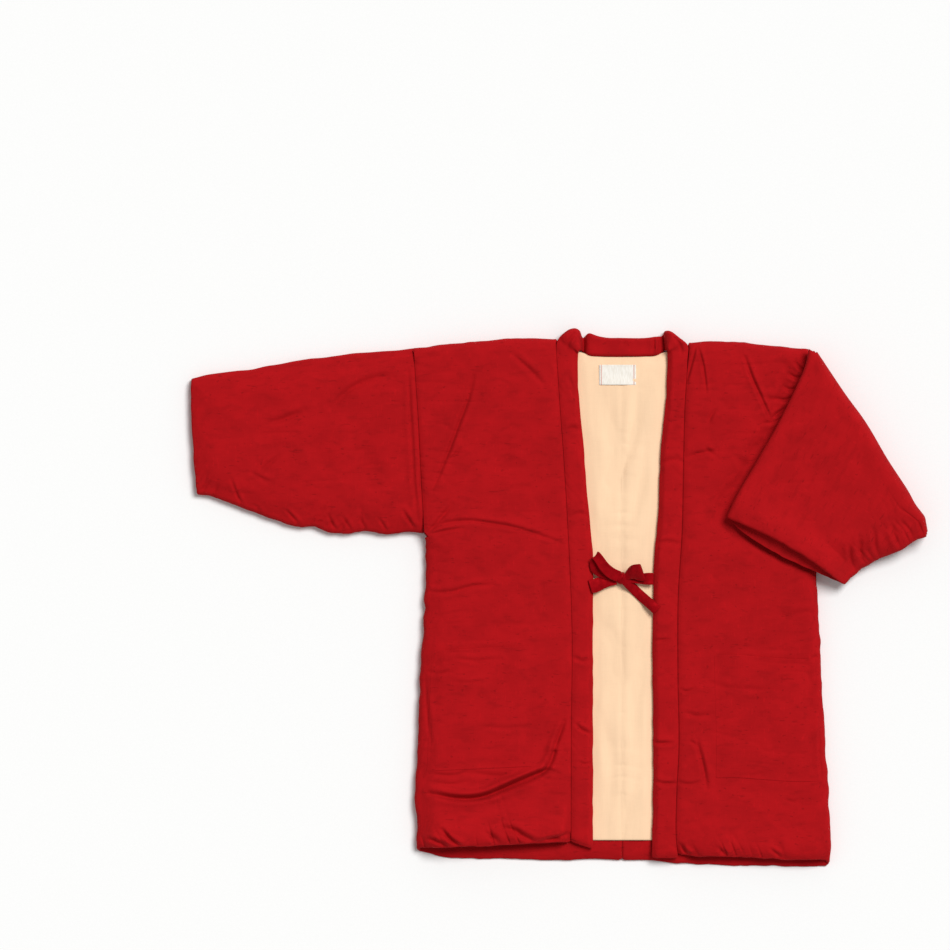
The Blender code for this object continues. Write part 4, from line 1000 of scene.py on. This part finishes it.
def knot():
    """The wrap of the bow: the tie goes once round the loops, drawn in at its edges and ridged by the pull."""
    along, around = np.meshgrid(np.linspace(-1, 1, 29), np.linspace(0, 2 * math.pi, 49)[:-1], indexing="ij")
    drawn_in = (1 - np.abs(along) ** 3.0) ** (1 / 2.4)
    ridges = 1 + 0.04 * np.cos(along * 6.5 + 0.9 * np.sin(around * 2))
    ridges += 0.05 * uneven(along * 9, around * 6, 6, 62)
    x = KNOT_SIZE[0] / 2 * along
    y, z = (size / 2 * drawn_in * ridges * wave(around) for size, wave in zip(KNOT_SIZE[1:], (np.cos, np.sin)))
    cos, sin = math.cos(KNOT_TURN), math.sin(KNOT_TURN)
    points = spots(KNOT[0] + x * cos - y * sin, KNOT[1] + x * sin + y * cos, KNOT[2] + z)
    rings, count = len(points) - 2, points.shape[1]
    faces = np.roll(ring_faces(rings, count), -1, 1).tolist()
    ring, final = np.arange(count), (rings - 1) * count + np.arange(count)
    faces += [(rings * count, b, a) for a, b in zip(ring, np.roll(ring, -1))]
    faces += [(rings * count + 1, a, b) for a, b in zip(final, np.roll(final, -1))]
    kept = [points[1:-1].reshape(-1, 3), points[0].mean(0), points[-1].mean(0)]
    return cloth_object("bow_knot_wrap", np.vstack(kept), faces)


def label_points(u, v, lift=0.0):
    """Places on the label, from -1 to 1 across and up: its lower edge curls up a little from the lining."""
    x, y = (LABEL_MIDDLE[k] + LABEL_SIZE[k] / 2 * share for k, share in enumerate((u, v)))
    curl = LABEL_CURL * (1 - u * u) * rise(0.1, -1.0, v) + 0.25 * uneven(x, y, 12, 63)
    return spots(x, y, BODY_WALL + 2 * ON_PANEL + LINING_WALL + LABEL_LIFT + curl + lift)


def label():
    u, v = np.meshgrid(np.linspace(-1, 1, 37), np.linspace(-1, 1, 21))
    skins = Skins()
    skins.fill(skins.grid(label_points(u, v, LABEL_WALL), label_points(u, v)))
    return skins.solid("label_cloth", rim=0.1, steps=1)


# Sewing, made with Geometry Nodes: one short thread is repeated along lines


def node(tree, kind, inputs=None, **settings):
    """Adds a node, with its settings, and its inputs as values or as links from other nodes' sockets."""
    made = tree.nodes.new(kind)
    for name, value in settings.items():
        setattr(made, name, value)
    for name, value in (inputs or {}).items():
        if isinstance(value, bpy.types.NodeSocket):
            tree.links.new(value, made.inputs[name])
        else:
            made.inputs[name].default_value = value
    return made


def stitch_tree(thread):
    """Stitches along the edges of a mesh, with inputs for their pitch, length, thickness and unevenness."""
    tree = bpy.data.node_groups.new("stitches", "GeometryNodeTree")
    sizes = [(name, "INPUT", "Float") for name in ("Pitch", "Stitch length", "Thread thickness", "Unevenness")]
    for name, way, kind in [("Lines", "INPUT", "Geometry"), *sizes, ("Stitches", "OUTPUT", "Geometry")]:
        tree.interface.new_socket(name, in_out=way, socket_type="NodeSocket" + kind)
    given = node(tree, "NodeGroupInput").outputs

    def step(kind, inputs=None, out=0, **settings):
        return node(tree, kind, inputs, **settings).outputs[out]

    lines = step("GeometryNodeMeshToCurve", {"Mesh": given["Lines"]})
    spaced = step("GeometryNodeResampleCurve", {"Curve": lines, "Length": given["Pitch"]}, mode="LENGTH")
    tangent = step("GeometryNodeInputTangent")
    facing = step("FunctionNodeAlignEulerToVector", {"Vector": tangent}, axis="X")
    jitter = step("FunctionNodeRandomValue", {2: -0.35, 3: 0.35, "Seed": 3}, 1, data_type="FLOAT")
    turn = step("ShaderNodeMath", {0: jitter, 1: given["Unevenness"]}, operation="MULTIPLY")
    turned = step("ShaderNodeCombineXYZ", {"Z": turn})
    aim = {"Rotation": facing, "Rotate By": turned}
    aimed = step("FunctionNodeRotateEuler", aim, rotation_type="EULER", space="LOCAL")
    ball = step("GeometryNodeMeshUVSphere", {"Segments": 8, "Rings": 5, "Radius": 0.5}, "Mesh")
    thick = given["Thread thickness"]
    size = step("ShaderNodeCombineXYZ", {"X": given["Stitch length"], "Y": thick, "Z": thick})
    thread_by_thread = {"Points": spaced, "Instance": ball, "Rotation": aimed, "Scale": size}
    threads = step("GeometryNodeInstanceOnPoints", thread_by_thread)
    real = step("GeometryNodeRealizeInstances", {"Geometry": threads})
    smooth = step("GeometryNodeSetShadeSmooth", {"Geometry": real})
    dressed = step("GeometryNodeSetMaterial", {"Geometry": smooth, "Material": thread})
    node(tree, "NodeGroupOutput", {"Stitches": dressed})
    return tree


def stitches(name, lines, thread, pitch, length, thickness, uneven_by=1.0):
    """A row of stitches along each line of points, as one plain mesh."""
    edges, start = [], 0
    for line in lines:
        edges += [(k, k + 1) for k in range(start, start + len(line) - 1)]
        start += len(line)
    mesh = bpy.data.meshes.new(name + "_lines")
    mesh.from_pydata((np.concatenate(lines) * MM).tolist(), edges, [])
    guide = in_scene(name + "_lines", mesh)
    modifier = guide.modifiers.new("stitches", "NODES")
    modifier.node_group = stitch_tree(thread)
    sizes = {"Pitch": pitch * MM, "Stitch length": length * MM, "Thread thickness": thickness * MM}
    sizes["Unevenness"] = uneven_by
    for item in modifier.node_group.interface.items_tree:
        if item.name in sizes:
            modifier[item.identifier] = sizes[item.name]
    plain = bpy.data.meshes.new_from_object(guide.evaluated_get(bpy.context.evaluated_depsgraph_get()))
    plain.name = name
    guide.modifiers.remove(modifier)
    bpy.data.objects.remove(guide)
    return in_scene(name, plain)


# Finishes


def linear(code):
    """A colour for a shader, from its sRGB hex value."""
    parts = [int(code[k : k + 2], 16) / 255 for k in (0, 2, 4)]
    return (*(c / 12.92 if c <= 0.04045 else ((c + 0.055) / 1.055) ** 2.4 for c in parts), 1.0)


class Finish:
    """A material with a Principled shader, whose even values stand on its own sockets."""

    def __init__(self, name, roughness, specular, **more):
        self.material = bpy.data.materials.new(name)
        self.material.use_nodes = True
        self.tree = self.material.node_tree
        self.shader = self.tree.nodes["Principled BSDF"]
        for socket, value in {"Roughness": roughness, "Specular IOR Level": specular, **more}.items():
            self.shader.inputs[socket.replace("_", " ")].default_value = value

    def node(self, kind, inputs=None, out=0, **settings):
        return node(self.tree, kind, inputs, **settings).outputs[out]

    def on_cloth(self):
        """Places on the uncut cloth, for the finish's noise."""
        self.place = self.node("ShaderNodeAttribute", None, "Vector", attribute_name="cloth")

    def noise(self, across_mm, along_mm, detail=2.0, shift=0.0):
        """Noise on the cloth, with marks of these sizes along X and along Y."""
        size, moved = (1000 / across_mm, 1000 / along_mm, 300.0), (shift, shift * 0.7, 0)
        place = self.node("ShaderNodeMapping", {"Vector": self.place, "Scale": size, "Location": moved})
        return self.grain(1.0, detail, place, Roughness=0.55)

    def grain(self, scale, detail, place=None, **more):
        """Even noise, on the object if no place is given."""
        if place is None:
            place = self.node("ShaderNodeTexCoord", None, "Object")
        return self.node("ShaderNodeTexNoise", {"Vector": place, "Scale": scale, "Detail": detail, **more})

    def between(self, value, low, high, to_low=0.0, to_high=1.0):
        return self.node("ShaderNodeMapRange", {
            "Value": value, "From Min": low, "From Max": high, "To Min": to_low, "To Max": to_high,
        }, interpolation_type="SMOOTHSTEP")

    def combined(self, a, b, operation="MULTIPLY"):
        return self.node("ShaderNodeMath", {0: a, 1: b}, operation=operation)

    def tinted(self, code, *tones):
        """Sets the colour, made lighter and darker by tones: each a noise, its range and what that becomes."""
        whole = None
        for tone in tones:
            tone = self.between(*tone)
            whole = tone if whole is None else self.combined(whole, tone)
        shaded = self.node("ShaderNodeVectorMath", {0: linear(code)[:3], "Scale": whole}, operation="SCALE")
        self.tree.links.new(shaded, self.shader.inputs["Base Color"])

    def raised(self, height, strength, distance):
        """Sets the relief of the threads."""
        bump = self.node("ShaderNodeBump", {"Height": height, "Strength": strength, "Distance": distance})
        self.tree.links.new(bump, self.shader.inputs["Normal"])


def slub_cotton(name, base):
    """Slub-woven cotton, plain weave from yarn of uneven thickness: matt, with thin dark flecks along the weft.

    Its thread is 0.4 mm, too fine to show, so the threads are drawn 1.6 mm apart.
    """
    made = Finish(name, 0.9, 0.1, Sheen_Weight=0.04, Sheen_Roughness=0.5, Sheen_Tint=linear("E0504C"))
    made.on_cloth()
    weft, warp = made.noise(12, 1.6, 3.0), made.noise(1.6, 22, 2.0, 3.1)
    cloud, slack = made.noise(40, 30, 3.0, 5.5), made.noise(21, 10, 2.0, 8.3)
    here = made.between(made.noise(31, 17, 2.0, 9.1), 0.45, 0.62)
    dashes = made.between(made.noise(14, 3.6, 1.0, 7.7), 0.6, 0.76)
    nubs = made.between(made.noise(5.4, 3.8, 0.0, 1.3), 0.76, 0.86)
    pale = made.between(made.noise(3.0, 11, 1.0, 2.2), 0.62, 0.76)
    dark = made.combined(made.combined(dashes, here), nubs, "MAXIMUM")
    made.tinted(
        base, (weft, 0.3, 0.7, 0.985, 1.01), (warp, 0.3, 0.7, 0.99, 1.01), (cloud, 0.3, 0.7, 0.92, 1.05),
        (slack, 0.5, 0.72, 1.0, 0.9), (pale, 0, 1, 1.0, 1.09), (dark, 0, 1, 1.0, 0.79),
    )
    made.raised(made.combined(made.combined(weft, warp, "ADD"), dark, "SUBTRACT"), 0.35, 0.0005)
    return made.material


def lining_cotton():
    """Plain cream cotton lining: smooth and matt, its threads show only as a faint grain."""
    made = Finish("lining_cotton", 0.8, 0.25, Sheen_Weight=0.08, IOR=1.46)
    made.on_cloth()
    weft, warp, cloud = made.noise(14, 1.6, 2.0), made.noise(1.6, 24, 2.0, 2.2), made.noise(26, 190, 2.0, 4.0)
    threads = (weft, 0.3, 0.7, 0.99, 1.006), (warp, 0.3, 0.7, 0.988, 1.008)
    made.tinted("F9D4AE", *threads, (cloud, 0.35, 0.65, 0.97, 1.015))
    made.raised(made.combined(weft, warp, "ADD"), 0.1, 0.0004)
    return made.material


def tie_satin():
    """Polyester satin ribbon: long floats give it a bright, slightly streaked sheen along its length."""
    made = Finish("tie_satin", 0.36, 0.35, Anisotropic=0.3, Specular_Tint=linear("C8141C"))
    made.on_cloth()
    float_lines, cloud = made.noise(1.4, 1.4, 2.0), made.noise(9, 9, 2.0, 2.0)
    made.tinted("900A12", (float_lines, 0.3, 0.7, 0.9, 1.1), (cloud, 0.32, 0.68, 0.9, 1.06))
    made.raised(float_lines, 0.15, 0.0003)
    return made.material


def woven_label():
    """White taffeta label, blank, with a plain woven line inside its two short ends."""
    made = Finish("woven_label", 0.6, 0.3, IOR=1.5)
    made.on_cloth()
    x = made.node("ShaderNodeSeparateXYZ", {"Vector": made.place})
    away = made.combined(made.combined(x, LABEL_MIDDLE[0] * MM, "SUBTRACT"), 0, "ABSOLUTE")
    marks = {0: away, 1: (LABEL_SIZE[0] / 2 - 3.2) * MM, 2: 0.6 * MM}  # each line's distance and half width
    line = made.node("ShaderNodeMath", marks, operation="COMPARE")
    ribs = made.noise(1.2, 8, 1.0)
    shares = {0: made.between(ribs, 0.3, 0.7), 6: linear("E9E2D6"), 7: linear("F6F1E8")}
    cloth = made.node("ShaderNodeMix", shares, 2, data_type="RGBA")
    colour = made.node("ShaderNodeMix", {0: line, 6: cloth, 7: linear("D9A79B")}, 2, data_type="RGBA")
    made.tree.links.new(colour, made.shader.inputs["Base Color"])
    made.raised(ribs, 0.3, 0.0003)
    return made.material


def sewing_thread(name, code):
    """Spun polyester thread: matt, with a fine twist that shows as a slight unevenness."""
    made = Finish(name, 0.7, 0.3, IOR=1.5)
    made.tinted(code, (made.grain(2500.0, 1.0), 0.3, 0.7, 0.85, 1.05))
    return made.material


def matt_paper():
    """White paper board, matt, with a very faint grain."""
    made = Finish("matt_paper", 0.9, 0.1)
    made.tinted("F8F8F7", (made.grain(400.0, 2.0), 0.3, 0.7, 0.985, 1.0))
    return made.material


# The garment


def dress(piece, finish, slot, *nodes):
    piece.data.materials.append(finish)
    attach(piece, "root")
    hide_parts(*nodes)
    return piece


red, cream, satin, tape = slub_cotton("slub_cotton", "AA0E14"), lining_cotton(), tie_satin(), woven_label()
white_thread = sewing_thread("white_thread", "DDD3C6")

# Each half of the body: its cut of what shows, and that of the lining on it
HALVES = (
    ("right", RIGHT, (0.33, 1.56), 0.42, (0.088, 0.72)),
    ("left", LEFT, (0.33, 1.54), 0.41, (0.094, 0.72)),
)
for name, half, flat, area, lining_flat in HALVES:
    panel = body(f"body_{name}_cloth", half)
    refine(panel, lambda x, y: front_height(half, x, y)[1], (everywhere, creased_zone(half)))
    dress(panel, red, "padded_cotton", "body_" + name)
    patch = dress(pocket(f"pocket_{name}_cloth", half), red, "padded_cotton", "pocket_" + name)
    within = dress(lining(f"lining_{name}_cloth", half), cream, "lining_cotton", "lining_" + name)

arm = dress(sleeve_right(), red, "padded_cotton", "sleeve_right")
folded = dress(sleeve_left(), red, "padded_cotton", "sleeve_left")
band = dress(collar(), red, "padded_cotton", "collar")

for number, (name, rows) in enumerate(RIBBONS.items()):
    tie = dress(ribbon(name + "_satin", rows, 24 + number), satin, "satin_tie", name)
    length = np.linalg.norm(np.diff(np.array(rows)[:, :3], axis=0), axis=1).sum() * MM
    wide = max(row[4] for row in rows) * MM
wrap = dress(knot(), satin, "satin_tie", "bow_knot")
tag = dress(label(), tape, "label_weave", "label")

t = np.linspace(-1, 1, 40)
to_end, to_top = 0.93, 0.9  # shares of the way from the label's middle
edges = [
    label_points(u, v, ON_LABEL) for u, v in (
        (t * to_end, 0 * t + to_top), (0 * t + to_end, t * to_top), (0 * t - to_end, t * to_top)
    )
]
sewn = stitches("label_stitches", edges, white_thread, pitch=2.4, length=1.9, thickness=0.45)
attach(sewn, "root")

# The table, light and camera

BOARD, BOARD_TOP = 6.0, -0.0004  # half its width and its height, in metres
SKY, WINDOW, WINDOW_WIDE = 0.36, 2.58, 26  # strengths of the light, and how wide the window looks, in degrees
LIGHT_GOES = (-0.36, -0.39, -0.85)
board_mesh = bpy.data.meshes.new("board")
corners = [(BOARD * x, BOARD * y, BOARD_TOP) for x, y in ((-1, -1), (1, -1), (1, 1), (-1, 1))]
board_mesh.from_pydata(corners, [], [(0, 1, 2, 3)])
board_mesh.materials.append(matt_paper())
in_scene("board", board_mesh)

world = bpy.data.worlds.new("studio")
world.use_nodes = True
sky = world.node_tree.nodes["Background"].inputs
sky["Color"].default_value, sky["Strength"].default_value = (1, 1, 1, 1), SKY
bpy.context.scene.world = world

# Even light from far away, as from a big window
lamp = bpy.data.lights.new("window", "SUN")
lamp.energy, lamp.angle = WINDOW, math.radians(WINDOW_WIDE)
in_scene("window", lamp).rotation_euler = Vector(LIGHT_GOES).to_track_quat("-Z", "Y").to_euler()

FRAME_MM, FRAME_CENTRE, EYE_HEIGHT = 1425.0, (-126.0, 183.75), 3.0
lens = bpy.data.cameras.new("from_above")
lens.type, lens.ortho_scale = "ORTHO", FRAME_MM * MM
eye = in_scene("from_above", lens)
eye.location = (FRAME_CENTRE[0] * MM, FRAME_CENTRE[1] * MM, EYE_HEIGHT)
bpy.context.scene.camera = eye
bpy.context.scene.view_settings.view_transform = "Standard"
